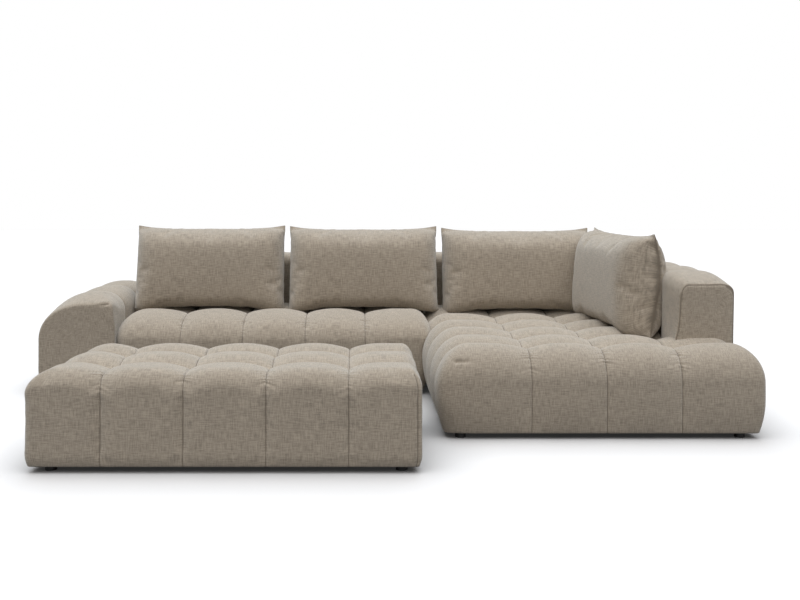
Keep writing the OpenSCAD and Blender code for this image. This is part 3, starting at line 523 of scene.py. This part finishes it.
def channelled_piece(name, length, width, height, edges, roll, inner_roll, draws, drop, run,
                     place, turned=False, panel_seam=False, end_roll=0.022, inner_gain=0.0):
    """Upholstered block with channels across it, and the mask of its held points. It lies along
    local Y with its outer side at X = 0. roll holds the width and the height of the roll of its
    outer edge, inner_roll is that of its inner edge, which gains inner_gain behind the front.
    draws holds how far the ends draw in, outer and inner, drop how far they drop, and run the
    length over which they do. end_roll is the roll of the ends, and panel_seam puts a seam round
    the front one. place turns local X, Y and Z into points, and turned says that it mirrors."""
    s = sizes()
    close = np.array([0, s.crease, SECOND_LINE * s.crease])
    ys = pillow_lines(edges, s.step, s.crease)
    if panel_seam:
        ys = np.unique(np.round(np.concatenate([ys[(ys > 0.02) | (ys == 0)], close]), 6))
    xs = np.linspace(0, width, round(width / s.step) + 1)
    zs = np.linspace(FOOT_TOP, height, round((height - FOOT_TOP) / s.step) + 1)
    sharp, quads, sides = lattice_shell(xs, ys, zs)
    x, y, z = sharp.T
    middle = np.array([0.55 * width, (FOOT_TOP + height) / 2])
    inner_roll = inner_roll + inner_gain * smooth_step(y / GAIN_RUN)
    # A point of an end panel lies on a ray from the middle to the outline, at a share of it
    half_x = np.where(x < middle[0], middle[0], width - middle[0])
    half_z = (height - FOOT_TOP) / 2
    ray = np.maximum(np.abs(x - middle[0]) / half_x, np.abs(z - middle[1]) / half_z)
    at_end = (y < TINY) | (y > length - TINY)
    share = np.where(at_end, np.maximum(ray, NEAR), 1.0)
    edge = middle + (np.stack([x, z], axis=1) - middle) / share[:, None]
    edge_x, edge_z = np.clip(edge[:, 0], 0, width), np.clip(edge[:, 1], FOOT_TOP, height)
    outer = edge_x < (roll[0] + width - inner_roll) / 2
    roll_x, roll_z = np.where(outer, roll[0], inner_roll), np.where(outer, roll[1], inner_roll)
    core_x = np.clip(edge_x, roll[0], width - inner_roll)
    core_z = np.minimum(edge_z, height - roll_z)
    way_x, way_z = (edge_x - core_x) / roll_x, (edge_z - core_z) / roll_z
    norm = np.maximum(np.hypot(way_x, way_z), TINY)
    out_x, out_z = way_x / norm, way_z / norm
    under = (edge_z < FOOT_TOP + NEAR) & (norm < NEAR)
    ring_x = np.where(under, edge_x, core_x + out_x * roll_x)
    ring_z = np.where(under, edge_z, core_z + out_z * roll_z)
    tuck = s.tuck * np.maximum(0, 1 - (ring_z - FOOT_TOP) / s.tuck_height) ** 2
    ring_x = np.where(outer, ring_x + tuck * np.abs(out_x), ring_x)
    # Channels
    full = fullness(y, edges)
    seam = on_seam(y, edges) & ~under & ~at_end
    fall = (s.channel_depth * (1 - full) + s.crease_depth * seam) * ~under * ~at_end
    ring_x = ring_x - out_x * fall
    ring_z = np.maximum(ring_z - out_z * fall, FOOT_TOP)
    # Ends that draw in at the sides, drop at the top and turn into a slightly full panel
    towards = middle - np.stack([ring_x, ring_z], axis=1)
    distance = np.linalg.norm(towards, axis=1)
    towards /= np.maximum(distance, TINY)[:, None]
    from_end = np.minimum(y, length - y)
    high_up = np.clip((ring_z - DRAW_START) / (height - DRAW_START), 0, 1)
    draw = np.where(out_x < 0, draws[0], draws[1] * high_up) * out_x ** 2 + drop * out_z ** 2
    draw = draw * np.maximum(0, 1 - from_end / run) ** 2.2 * ~under
    way_y = np.clip(1 - from_end / end_roll, 0, 1)
    panel_inset = (1 - share) * (distance - draw)
    way_in = np.where(at_end, np.clip(1 - panel_inset / end_roll, 0, 1), 1.0)
    norm = np.maximum(np.hypot(way_y, way_in), TINY)
    rounded = end_roll * (1 - way_in / norm)
    inset = draw + np.where(at_end & (way_in <= 0), panel_inset, rounded * (way_y > 0))
    depth = end_roll * (1 - way_y / norm) - at_end * s.panel_puff * smooth_step((1 - share) / 0.5)
    local_y = np.where(way_y > 0, np.where(y < length / 2, depth, length - depth), y)
    local_x = ring_x + towards[:, 0] * inset
    local_z = np.maximum(ring_z + towards[:, 1] * inset, FOOT_TOP)
    rim = at_end & (share > 1 - 1e-4)
    if panel_seam:
        front_rim = rim & (y < TINY) & (edge_z > FOOT_TOP + 0.01)
        local_y = local_y + 0.5 * s.crease_depth * front_rim
        seam = seam | front_rim
    points = np.stack(place(local_x, local_y, local_z), axis=1)
    p = sharp[quads]
    girth = np.where((sides == 5)[:, None], height + p[:, :, 0],
                     np.where((sides == 1)[:, None], 2 * height + width - p[:, :, 2], p[:, :, 2]))
    ends = ((sides == 2) | (sides == 3))[:, None]
    uv = np.stack([np.where(ends, p[:, :, 0], p[:, :, 1]),
                   np.where(ends, p[:, :, 2], girth)], axis=2)
    if turned:
        quads, uv = quads[:, ::-1], uv[:, ::-1]
    piece = mesh_piece(name, points, quads, np.ascontiguousarray(uv), seam)
    held = seam | (local_z < FOOT_TOP + HELD_HEIGHT)
    return piece, held


class SOFA_OT_add_arm(bpy.types.Operator):
    """Adds the low arm with its three channels"""

    bl_idname = "sofa.add_arm"
    bl_label = "Add arm"

    def execute(self, context):
        low, high = ARM[0] - (0.013, 0, 0), ARM[1] + (0.004, 0, 0)
        length, width = high[1] - low[1], high[0] - low[0]
        piece, held = channelled_piece(
            "arm", length, width, high[2], np.linspace(0, length, 4), roll=(0.255, 0.235),
            inner_roll=0.045, draws=(0.0, 0.034), drop=0.050, run=0.20,
            place=lambda x, y, z: (low[0] + x, low[1] + y, z), end_roll=0.012, inner_gain=0.075)
        plump(piece, held, CHANNEL_SWELL, low=low + (0.0, 0.002, 0), high=high + (-0.002, 0, 0.004))
        finish_cover(piece, "sofa", ["arm_cover", "arm_foam"])
        dart(piece, (high[0] - 0.036, 0.480), (high[0] - 0.084, 0.474))
        return {"FINISHED"}


class SOFA_OT_add_backrests(bpy.types.Operator):
    """Adds the two rear backrests and the side backrest, with channels across them"""

    bl_idname = "sofa.add_backrests"
    bl_label = "Add backrests"

    def execute(self, context):
        roll, inner_roll = (0.110, 0.090), 0.060
        for node, (low, high) in (("bench_back", BENCH_BACK), ("corner_back", CORNER_BACK)):
            length = high[0] - low[0]
            edges = np.linspace(0, length, 6)
            if node == "corner_back":
                # Its first channel is wider than the others
                edges = np.append(0, np.linspace(0.410, length, 4))
            piece, held = channelled_piece(
                node + "rest", length, high[1] - low[1], high[2], edges, roll, inner_roll,
                draws=(0.014, 0.014), drop=0.046, run=0.08,
                place=lambda x, y, z: (low[0] + y, high[1] - x, z))
            plump(piece, held, CHANNEL_SWELL, low=low + (0.001, 0.001, 0),
                  high=high + (-0.001, 0, 0.004))
            finish_cover(piece, "sofa", [node + "_cover", node + "_foam"])
        low, high = SIDE_BACK[0] - (0.010, 0, 0), SIDE_BACK[1]
        length = high[1] - low[1]
        piece, held = channelled_piece(
            "side_backrest", length, high[0] - low[0], high[2], np.linspace(0, length, 6), roll,
            inner_roll, draws=(0.008, 0.088), drop=0.056, run=0.22,
            place=lambda x, y, z: (high[0] - x, low[1] + y, z), turned=True, panel_seam=True,
            end_roll=0.010)
        plump(piece, held, CHANNEL_SWELL, low=low + (0.001, 0.0, 0), high=high + (0, -0.001, 0.004))
        finish_cover(piece, "sofa", ["side_back_cover", "side_back_foam"])
        return {"FINISHED"}


# Loose cushions

CUSHION_WIDTH = 0.866
CUSHION_SWELL = 0.010
# Share of spare cloth in a cushion's panels, for their light wrinkles
CUSHION_SPARE = 0.028
# How far the side seams of a cushion bow to the rear at half height
SEAM_BOW = 0.045
# Height of the ears at a cushion's upper corners
EAR = 0.026
# Y of the rear cushions' lower seams, and the X and heading of the side cushion's
REAR_ROW_Y = 0.742
SIDE_ROW_X, SIDE_HEADING = 1.326, -85
# Middle sections of a cushion, from its lower to its upper seam: depth and height from the
# lower seam's place on the seat
CUSHION_FRONT = ((0.0, 0.0), (-0.055, -0.008), (-0.108, -0.010), (-0.144, 0.002), (-0.160, 0.034),
                 (-0.166, 0.080), (-0.167, 0.140), (-0.164, 0.210), (-0.159, 0.270), (-0.150, 0.325),
                 (-0.134, 0.370), (-0.098, 0.410), (0.028, 0.434))
CUSHION_REAR = ((0.0, 0.0), (0.050, 0.000), (0.092, 0.028), (0.114, 0.088), (0.125, 0.165),
                (0.132, 0.240), (0.128, 0.305), (0.108, 0.368), (0.074, 0.412), (0.028, 0.434))


def curve_through(knots, share):
    """Smooth curve through points, by the share of its length."""
    knots = np.array(knots)
    at = np.append(0, np.cumsum(np.linalg.norm(np.diff(knots, axis=0), axis=1)))
    at /= at[-1]
    slope = np.gradient(knots, at, axis=0)
    k = np.clip(np.searchsorted(at, share, side="right") - 1, 0, len(at) - 2)
    span = (at[k + 1] - at[k])[:, None]
    t = ((share - at[k]) / (at[k + 1] - at[k]))[:, None]
    return ((2 * t ** 3 - 3 * t ** 2 + 1) * knots[k] + (t ** 3 - 2 * t ** 2 + t) * span * slope[k]
            + (3 * t ** 2 - 2 * t ** 3) * knots[k + 1] + (t ** 3 - t ** 2) * span * slope[k + 1])


def cushion_panel(u, v, knots, fill_power, depth, toe):
    """Points of one panel of a cushion, for shares u across (-1 to 1) and v upwards (0 to 1).
    Its ends bow to the rear, and its lower corners lie further forward and lower by toe. depth
    scales its front, and its rear less."""
    knots = np.array(knots)
    knots[:, 0] *= np.where(knots[:, 0] < 0, depth, 0.3 + 0.7 * depth)
    section = curve_through(knots, v)
    edge = np.outer(v, np.subtract(knots[-1], knots[0])) + knots[0]
    edge[:, 0] += SEAM_BOW * np.sin(math.pi * v ** 1.2)
    # The lower part stays full nearly up to its ends
    end_power = fill_power * (1 + (1 - v) ** 2)
    u, v = u[:, None], v[None]
    full = (1 - np.abs(u) ** end_power[None]).clip(0) ** 0.5
    full = full[:, :, None]
    depth_height = edge[None] + full * (section - edge)[None]
    ear = np.abs(u) ** 4.5 * np.maximum(0, 2 * v - 1) ** 3 * EAR
    foot = np.abs(u) ** 4 * (1 - v) ** 3
    # The sides draw in at half height, and the upper corners are blunt
    draw = 0.012 * (1 - (2 * v - 1) ** 4)
    tip = 0.004 * np.abs(u) ** 30 * v ** 30
    across = u * (CUSHION_WIDTH / 2 - draw - tip) + 0.009 * u ** 5 * (1 - v) ** 4
    return np.stack([across, depth_height[..., 0] - toe[0] * foot,
                     depth_height[..., 1] + ear - tip - toe[1] * foot], axis=-1)


def cushion_piece(name, body, place, heading, tall, depth, toe):
    """Loose cushion that sags on its seat: two full panels that share their edge seam."""
    across, up, flat_height = round(CUSHION_WIDTH / sizes().step), 52, 0.55
    # The mesh lines lie closer together towards the ends
    closing = 1.42
    u = np.sin(np.linspace(-1, 1, across + 1) * closing) / math.sin(closing)
    v = np.linspace(0, 1, up + 1)
    front = cushion_panel(u, v, CUSHION_FRONT, 9, depth, toe)
    rear = cushion_panel(u, v, CUSHION_REAR, 6, depth, toe)
    rim = np.zeros(front.shape[:2], bool)
    rim[0, :] = rim[-1, :] = rim[:, 0] = rim[:, -1] = True
    front_number = np.arange(rim.size).reshape(rim.shape)
    rear_number = front_number.copy()
    rear_number[~rim] = rim.size + np.arange((~rim).sum())

    def quads_of(number):
        return np.stack([number[:-1, :-1], number[1:, :-1], number[1:, 1:], number[:-1, 1:]],
                        axis=-1).reshape(-1, 4)

    quads = np.concatenate([quads_of(front_number), quads_of(rear_number)[:, ::-1]])
    points = np.concatenate([front.reshape(-1, 3), rear[~rim]])
    # The rear panel's cloth lies one metre above the front panel's on the UV map
    flat = np.stack(np.meshgrid(u * CUSHION_WIDTH / 2, v * flat_height, indexing="ij"), axis=-1)
    flat = np.concatenate([flat.reshape(-1, 2), flat[~rim] + (0, 1.0)])
    on_rear = np.arange(len(quads)) >= len(quads) // 2
    uv = flat[quads]
    uv[on_rear, :, 1] += np.where(quads[on_rear] < rim.size, 1.0, 0.0)
    seam = np.zeros(len(points), bool)
    seam[:rim.size] = rim.reshape(-1)
    piece = mesh_piece(name, points, quads, uv, seam)
    plump(piece, seam, CUSHION_SWELL, spare=CUSHION_SPARE)
    turn = math.radians(heading)
    x, y, z = points_of(piece).T
    turned = np.stack([x * math.cos(turn) - y * math.sin(turn),
                       x * math.sin(turn) + y * math.cos(turn), z * tall], axis=1)
    set_points(piece, turned + place)
    finish_cover(piece, body, [body + "_cover", body + "_filling"])


class SOFA_OT_add_cushions(bpy.types.Operator):
    """Adds the three back cushions and the side cushion"""

    bl_idname = "sofa.add_cushions"
    bl_label = "Add cushions"

    def execute(self, context):
        for body in ("left_cushion", "middle_cushion", "right_cushion", "side_cushion"):
            low, high = limits(body + "_cover")
            middle, base = (low + high) / 2, low[2] + 0.004
            if body == "side_cushion":
                cushion_piece(body + "_pad", body, (SIDE_ROW_X, middle[1], base), SIDE_HEADING,
                              tall=1.04, depth=0.78, toe=(0.0, 0.036))
            else:
                cushion_piece(body + "_pad", body, (middle[0], REAR_ROW_Y, base), 0,
                              tall=1.0, depth=1.0, toe=(0.085, 0.050))
        return {"FINISHED"}


# Materials

def new_group(name, inputs, outputs):
    """Shader node group with its inputs and outputs, and its two end nodes."""
    group = bpy.data.node_groups.new(name, "ShaderNodeTree")
    for socket, kind, value in inputs:
        made = group.interface.new_socket(socket, in_out="INPUT", socket_type=kind)
        if value is not None:
            made.default_value = value
    for socket, kind in outputs:
        group.interface.new_socket(socket, in_out="OUTPUT", socket_type=kind)
    return group, group.nodes.new("NodeGroupInput"), group.nodes.new("NodeGroupOutput")


def math_node(tree, operation, a, b=None, c=None):
    node = tree.nodes.new("ShaderNodeMath")
    node.operation = operation
    for socket, value in zip(node.inputs, (a, b, c)):
        if value is None:
            continue
        if isinstance(value, (int, float)):
            socket.default_value = value
        else:
            tree.links.new(value, socket)
    return node.outputs[0]


def noise_node(tree, vector, scale, detail=2.0, roughness=0.5):
    node = tree.nodes.new("ShaderNodeTexNoise")
    node.inputs["Scale"].default_value = scale
    node.inputs["Detail"].default_value = detail
    node.inputs["Roughness"].default_value = roughness
    tree.links.new(vector, node.inputs["Vector"])
    return node.outputs["Fac"]


def stretched(tree, vector, factors):
    node = tree.nodes.new("ShaderNodeVectorMath")
    node.operation = "MULTIPLY"
    node.inputs[1].default_value = factors
    tree.links.new(vector, node.inputs[0])
    return node.outputs[0]


def weave_group():
    """Plain weave of thick uneven yarn, in metres of cloth: its height."""
    name = "Yarn weave"
    if name in bpy.data.node_groups:
        return bpy.data.node_groups[name]
    group, start, end = new_group(
        name,
        [("Vector", "NodeSocketVector", None), ("Yarn", "NodeSocketFloat", 0.0032)],
        [("Height", "NodeSocketFloat")])
    nodes, links = group.nodes, group.links
    wobble = nodes.new("ShaderNodeTexNoise")
    wobble.inputs["Scale"].default_value = 90
    wobble.inputs["Detail"].default_value = 2
    links.new(start.outputs["Vector"], wobble.inputs["Vector"])
    shift = nodes.new("ShaderNodeVectorMath")
    shift.operation = "MULTIPLY_ADD"
    shift.inputs[1].default_value = (0.003, 0.003, 0)
    links.new(wobble.outputs["Color"], shift.inputs[0])
    links.new(start.outputs["Vector"], shift.inputs[2])
    split = nodes.new("ShaderNodeSeparateXYZ")
    links.new(shift.outputs[0], split.inputs[0])
    cells, ridges = [], []
    for axis in ("X", "Y"):
        place = math_node(group, "DIVIDE", split.outputs[axis], start.outputs["Yarn"])
        wave = math_node(group, "SINE", math_node(group, "MULTIPLY", place, math.pi))
        cells.append(math_node(group, "FLOOR", place))
        ridges.append(math_node(group, "ABSOLUTE", wave))
    # Which of the two yarns lies on top changes from cell to cell
    over = math_node(group, "PINGPONG", math_node(group, "ADD", *cells), 1.0)
    under = math_node(group, "MULTIPLY", ridges[0], math_node(group, "SUBTRACT", 1.0, over))
    links.new(math_node(group, "MULTIPLY_ADD", ridges[1], over, under), end.inputs["Height"])
    return group


def new_material(name):
    material = bpy.data.materials.new(name)
    material.use_nodes = True
    return material, material.node_tree


def two_tones(tree, factor, dark, light, start, end):
    """Colour ramp from dark to light between two places of a factor."""
    ramp = tree.nodes.new("ShaderNodeValToRGB")
    for element, position, colour in zip(ramp.color_ramp.elements, (start, end), (dark, light)):
        element.position = position
        element.color = (*colour, 1)
    tree.links.new(factor, ramp.inputs["Fac"])
    return ramp.outputs["Color"]


def fabric():
    """Taupe chenille: thick uneven yarn in two tones, with a soft sheen. Along the seams its colour
    is darkened and most of its sheen taken out: painted shade in the creases, and partly the darker
    thread."""
    name = "taupe_chenille"
    if name in bpy.data.materials:
        return bpy.data.materials[name]
    material, tree = new_material(name)
    nodes, links = tree.nodes, tree.links
    shader = nodes["Principled BSDF"]
    shader.inputs["Roughness"].default_value = 0.92
    shader.inputs["Specular IOR Level"].default_value = 0.15
    shader.inputs["Sheen Roughness"].default_value = 0.6
    shader.inputs["Sheen Tint"].default_value = (0.88, 0.88, 0.84, 1)
    uv = nodes.new("ShaderNodeUVMap")
    uv.uv_map = "cloth"
    place = nodes.new("ShaderNodeTexCoord")
    weave = nodes.new("ShaderNodeGroup")
    weave.node_tree = weave_group()
    links.new(uv.outputs["UV"], weave.inputs["Vector"])
    warp = noise_node(tree, stretched(tree, uv.outputs["UV"], (270, 24, 1)), 1, 2.0, 0.6)
    weft = noise_node(tree, stretched(tree, uv.outputs["UV"], (24, 270, 1)), 1, 2.0, 0.6)
    fleck = noise_node(tree, uv.outputs["UV"], 420, 2.0, 0.6)
    drift = noise_node(tree, place.outputs["Object"], 5.0, 2.0)
    tone = math_node(tree, "MULTIPLY_ADD", warp, 1.45, -1.30)
    tone = math_node(tree, "MULTIPLY_ADD", weft, 1.45, tone)
    tone = math_node(tree, "MULTIPLY_ADD", fleck, 0.7, tone)
    tone = math_node(tree, "MULTIPLY_ADD", drift, 0.15, tone)
    tone = math_node(tree, "MULTIPLY_ADD", weave.outputs["Height"], 0.12, tone)
    # Painted shade along the seams: the seam mark darkens the yarn and takes out most of the sheen,
    # for the shade in the creases and partly for the darker thread
    seam = nodes.new("ShaderNodeAttribute")
    seam.attribute_name = "seam"
    line = math_node(tree, "POWER", seam.outputs["Fac"], 2.0)
    links.new(math_node(tree, "MULTIPLY_ADD", line, -0.5, 0.6), shader.inputs["Sheen Weight"])
    tone = math_node(tree, "SUBTRACT", tone, line)
    c = colours()
    colour = two_tones(tree, tone, c.yarn_dark, c.yarn_light, 0.15, 0.95)
    links.new(colour, shader.inputs["Base Color"])
    bump = nodes.new("ShaderNodeBump")
    bump.inputs["Strength"].default_value = 0.5
    bump.inputs["Distance"].default_value = 0.0010
    height = math_node(tree, "MULTIPLY_ADD", fleck, 0.3, weave.outputs["Height"])
    links.new(height, bump.inputs["Height"])
    links.new(bump.outputs["Normal"], shader.inputs["Normal"])
    return material


def plain_finish(name, dark, light, roughness, scale, bump=0.0, metallic=0.0):
    """Finish of a hidden or small part: two close tones mixed by a noise."""
    if name in bpy.data.materials:
        return bpy.data.materials[name]
    material, tree = new_material(name)
    shader = tree.nodes["Principled BSDF"]
    shader.inputs["Roughness"].default_value = roughness
    shader.inputs["Metallic"].default_value = metallic
    place = tree.nodes.new("ShaderNodeTexCoord")
    grain = noise_node(tree, place.outputs["Object"], scale, 4.0)
    tree.links.new(two_tones(tree, grain, dark, light, 0.3, 0.7), shader.inputs["Base Color"])
    if bump:
        relief = tree.nodes.new("ShaderNodeBump")
        relief.inputs["Distance"].default_value = bump
        tree.links.new(grain, relief.inputs["Height"])
        tree.links.new(relief.outputs["Normal"], shader.inputs["Normal"])
    return material


class SOFA_OT_finish_hardware(bpy.types.Operator):
    """Gives the frames, webbing, linings, feet, zips and fasteners their finishes"""

    bl_idname = "sofa.finish_hardware"
    bl_label = "Finish inner parts and hardware"

    def execute(self, context):
        foot = tuple(colours().foot)
        light_foot = tuple(1.6 * v for v in foot)
        # By the end of a node's name: name, dark and light tone, roughness, scale, bump, metallic
        finishes = {
            "_frame": ("beech_plywood", (0.42, 0.27, 0.14), (0.56, 0.39, 0.22), 0.6, 60, 0.0002),
            "_webbing": ("webbing_black", (0.02, 0.02, 0.022), (0.04, 0.04, 0.042), 0.8,
                         400, 0.0003),
            "_underlining": ("lining_black", (0.012, 0.012, 0.013), (0.022, 0.022, 0.023), 0.9,
                             900, 0.0002),
            "_feet": ("foot_black", foot, light_foot, 0.45, 300, 0.0001),
            "_zip": ("zip_taupe", (0.10, 0.085, 0.07), (0.13, 0.11, 0.09), 0.6, 500, 0.0002),
            "": ("zinc_steel", (0.50, 0.51, 0.53), (0.62, 0.63, 0.65), 0.4, 200, 0.0, 1.0),
        }
        for name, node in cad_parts.items():
            if node.hide_render:
                continue
            ending = next(e for e in finishes if name.endswith(e))
            node.data.materials.clear()
            node.data.materials.append(plain_finish(*finishes[ending]))
        return {"FINISHED"}


# Stage

def floor_material():
    """Studio floor that is white to the camera away from the shadows, with a painted contact shadow:
    ambient occlusion darkens its colour near whatever stands on it."""
    contact_shadow_reach, darkest, bounce = 0.35, 0.45, 0.29
    material, tree = new_material("studio_floor")
    nodes, links = tree.nodes, tree.links
    out = nodes["Material Output"]
    nodes.remove(nodes["Principled BSDF"])
    diffuse = nodes.new("ShaderNodeBsdfDiffuse")
    # Painted contact shadow: ambient occlusion darkens the floor's colour near the sofa, down to the
    # share darkest of it
    contact_shadow = nodes.new("ShaderNodeAmbientOcclusion")
    contact_shadow.inputs["Distance"].default_value = contact_shadow_reach
    shade = nodes.new("ShaderNodeVectorMath")
    shade.operation = "SCALE"
    shade.inputs[0].default_value = tuple(colours().floor)
    scale = math_node(tree, "MULTIPLY_ADD", contact_shadow.outputs["AO"], 1 - darkest, darkest)
    links.new(scale, shade.inputs["Scale"])
    links.new(shade.outputs[0], diffuse.inputs["Color"])
    # The floor throws less light back at the sofa than the camera sees of it
    dim = nodes.new("ShaderNodeBsdfDiffuse")
    dim.inputs["Color"].default_value = (*(bounce * v for v in colours().floor), 1)
    glow = nodes.new("ShaderNodeEmission")
    glow.inputs["Strength"].default_value = 0.02
    both = nodes.new("ShaderNodeAddShader")
    links.new(diffuse.outputs[0], both.inputs[0])
    links.new(glow.outputs[0], both.inputs[1])
    path = nodes.new("ShaderNodeLightPath")
    mix = nodes.new("ShaderNodeMixShader")
    links.new(path.outputs["Is Camera Ray"], mix.inputs["Fac"])
    links.new(dim.outputs[0], mix.inputs[1])
    links.new(both.outputs[0], mix.inputs[2])
    links.new(mix.outputs[0], out.inputs["Surface"])
    return material


def sun_light(name, towards, strength, spread, colour):
    light = bpy.data.lights.new(name, "SUN")
    light.energy = strength
    light.angle = math.radians(spread)
    light.color = colour
    lamp = bpy.data.objects.new(name, light)
    bpy.context.scene.collection.objects.link(lamp)
    lamp.location = (0, 0, 4)
    lamp.rotation_euler = Vector(towards).to_track_quat("Z", "Y").to_euler()


class SOFA_OT_add_stage(bpy.types.Operator):
    """Adds the floor, the lamps, the world and the camera"""

    bl_idname = "sofa.add_stage"
    bl_label = "Add stage"

    def execute(self, context):
        deselect_all()
        bpy.ops.mesh.primitive_plane_add(size=40, location=(0, 0, 0))
        floor = context.active_object
        floor.name = "floor"
        floor.data.materials.append(floor_material())
        # The world is white where it is seen, and a faint light elsewhere
        world = bpy.data.worlds.new("studio")
        context.scene.world = world
        world.use_nodes = True
        tree = world.node_tree
        nodes, links = tree.nodes, tree.links
        sky = nodes["Background"]
        seen = nodes.new("ShaderNodeBackground")
        for background, strength in ((sky, 0.17), (seen, 1.0)):
            background.inputs["Color"].default_value = (1, 1, 1, 1)
            background.inputs["Strength"].default_value = strength
        path = nodes.new("ShaderNodeLightPath")
        direct = math_node(tree, "MAXIMUM", path.outputs["Is Camera Ray"],
                           path.outputs["Is Glossy Ray"])
        direct = math_node(tree, "MAXIMUM", direct, path.outputs["Is Transmission Ray"])
        mix = nodes.new("ShaderNodeMixShader")
        links.new(direct, mix.inputs["Fac"])
        links.new(sky.outputs[0], mix.inputs[1])
        links.new(seen.outputs[0], mix.inputs[2])
        links.new(mix.outputs[0], nodes["World Output"].inputs["Surface"])
        sun_light("high_front", (-0.04, -0.38, 1.0), 3.05, 85, (0.98, 0.98, 1.0))
        sun_light("overhead", (0.0, 0.0, 1.0), 0.7, 50, (0.80, 0.90, 1.0))
        sun_light("high_rear", (-0.10, 0.90, 1.0), 0.8, 50, (0.80, 0.90, 1.0))
        # The camera that was fitted to the photograph: it looks level, and its frame is shifted
        camera = bpy.data.cameras.new("camera")
        camera.sensor_width = 36
        camera.lens = 42.75
        camera.shift_x, camera.shift_y = 0.05625, -0.1375
        viewer = bpy.data.objects.new("camera", camera)
        context.scene.collection.objects.link(viewer)
        viewer.location = (-0.052, -4.795, 1.0816)
        viewer.rotation_euler = (math.pi / 2, 0, 0)
        context.scene.camera = viewer
        context.scene.view_settings.view_transform = "Standard"
        return {"FINISHED"}


class SOFA_PT_panel(bpy.types.Panel):
    """Sidebar panel of the sofa"""

    bl_idname = "SOFA_PT_panel"
    bl_label = "Corner sofa"
    bl_space_type = "VIEW_3D"
    bl_region_type = "UI"
    bl_category = "Sofa"

    def draw(self, context):
        for group in (context.scene.sofa_sizes, context.scene.sofa_colours):
            for name in group.bl_rna.properties.keys():
                if name not in ("rna_type", "name"):
                    self.layout.prop(group, name)
        for operator in OPERATORS:
            self.layout.operator(operator.bl_idname)


OPERATORS = (SOFA_OT_add_stage, SOFA_OT_add_bench, SOFA_OT_add_chaise, SOFA_OT_add_ottoman,
             SOFA_OT_add_arm, SOFA_OT_add_backrests, SOFA_OT_add_cushions, SOFA_OT_finish_hardware)
CLASSES = (SofaSizes, SofaColours, *OPERATORS, SOFA_PT_panel)


def register():
    for cls in CLASSES:
        bpy.utils.register_class(cls)
    bpy.types.Scene.sofa_sizes = bpy.props.PointerProperty(type=SofaSizes)
    bpy.types.Scene.sofa_colours = bpy.props.PointerProperty(type=SofaColours)


def unregister():
    del bpy.types.Scene.sofa_sizes
    del bpy.types.Scene.sofa_colours
    for cls in reversed(CLASSES):
        bpy.utils.unregister_class(cls)


def main():
    register()
    bpy.ops.sofa.add_stage()
    bpy.ops.sofa.add_bench()
    bpy.ops.sofa.add_chaise()
    bpy.ops.sofa.add_ottoman()
    bpy.ops.sofa.add_arm()
    bpy.ops.sofa.add_backrests()
    bpy.ops.sofa.add_cushions()
    bpy.ops.sofa.finish_hardware()


if __name__ == "__main__":
    main()
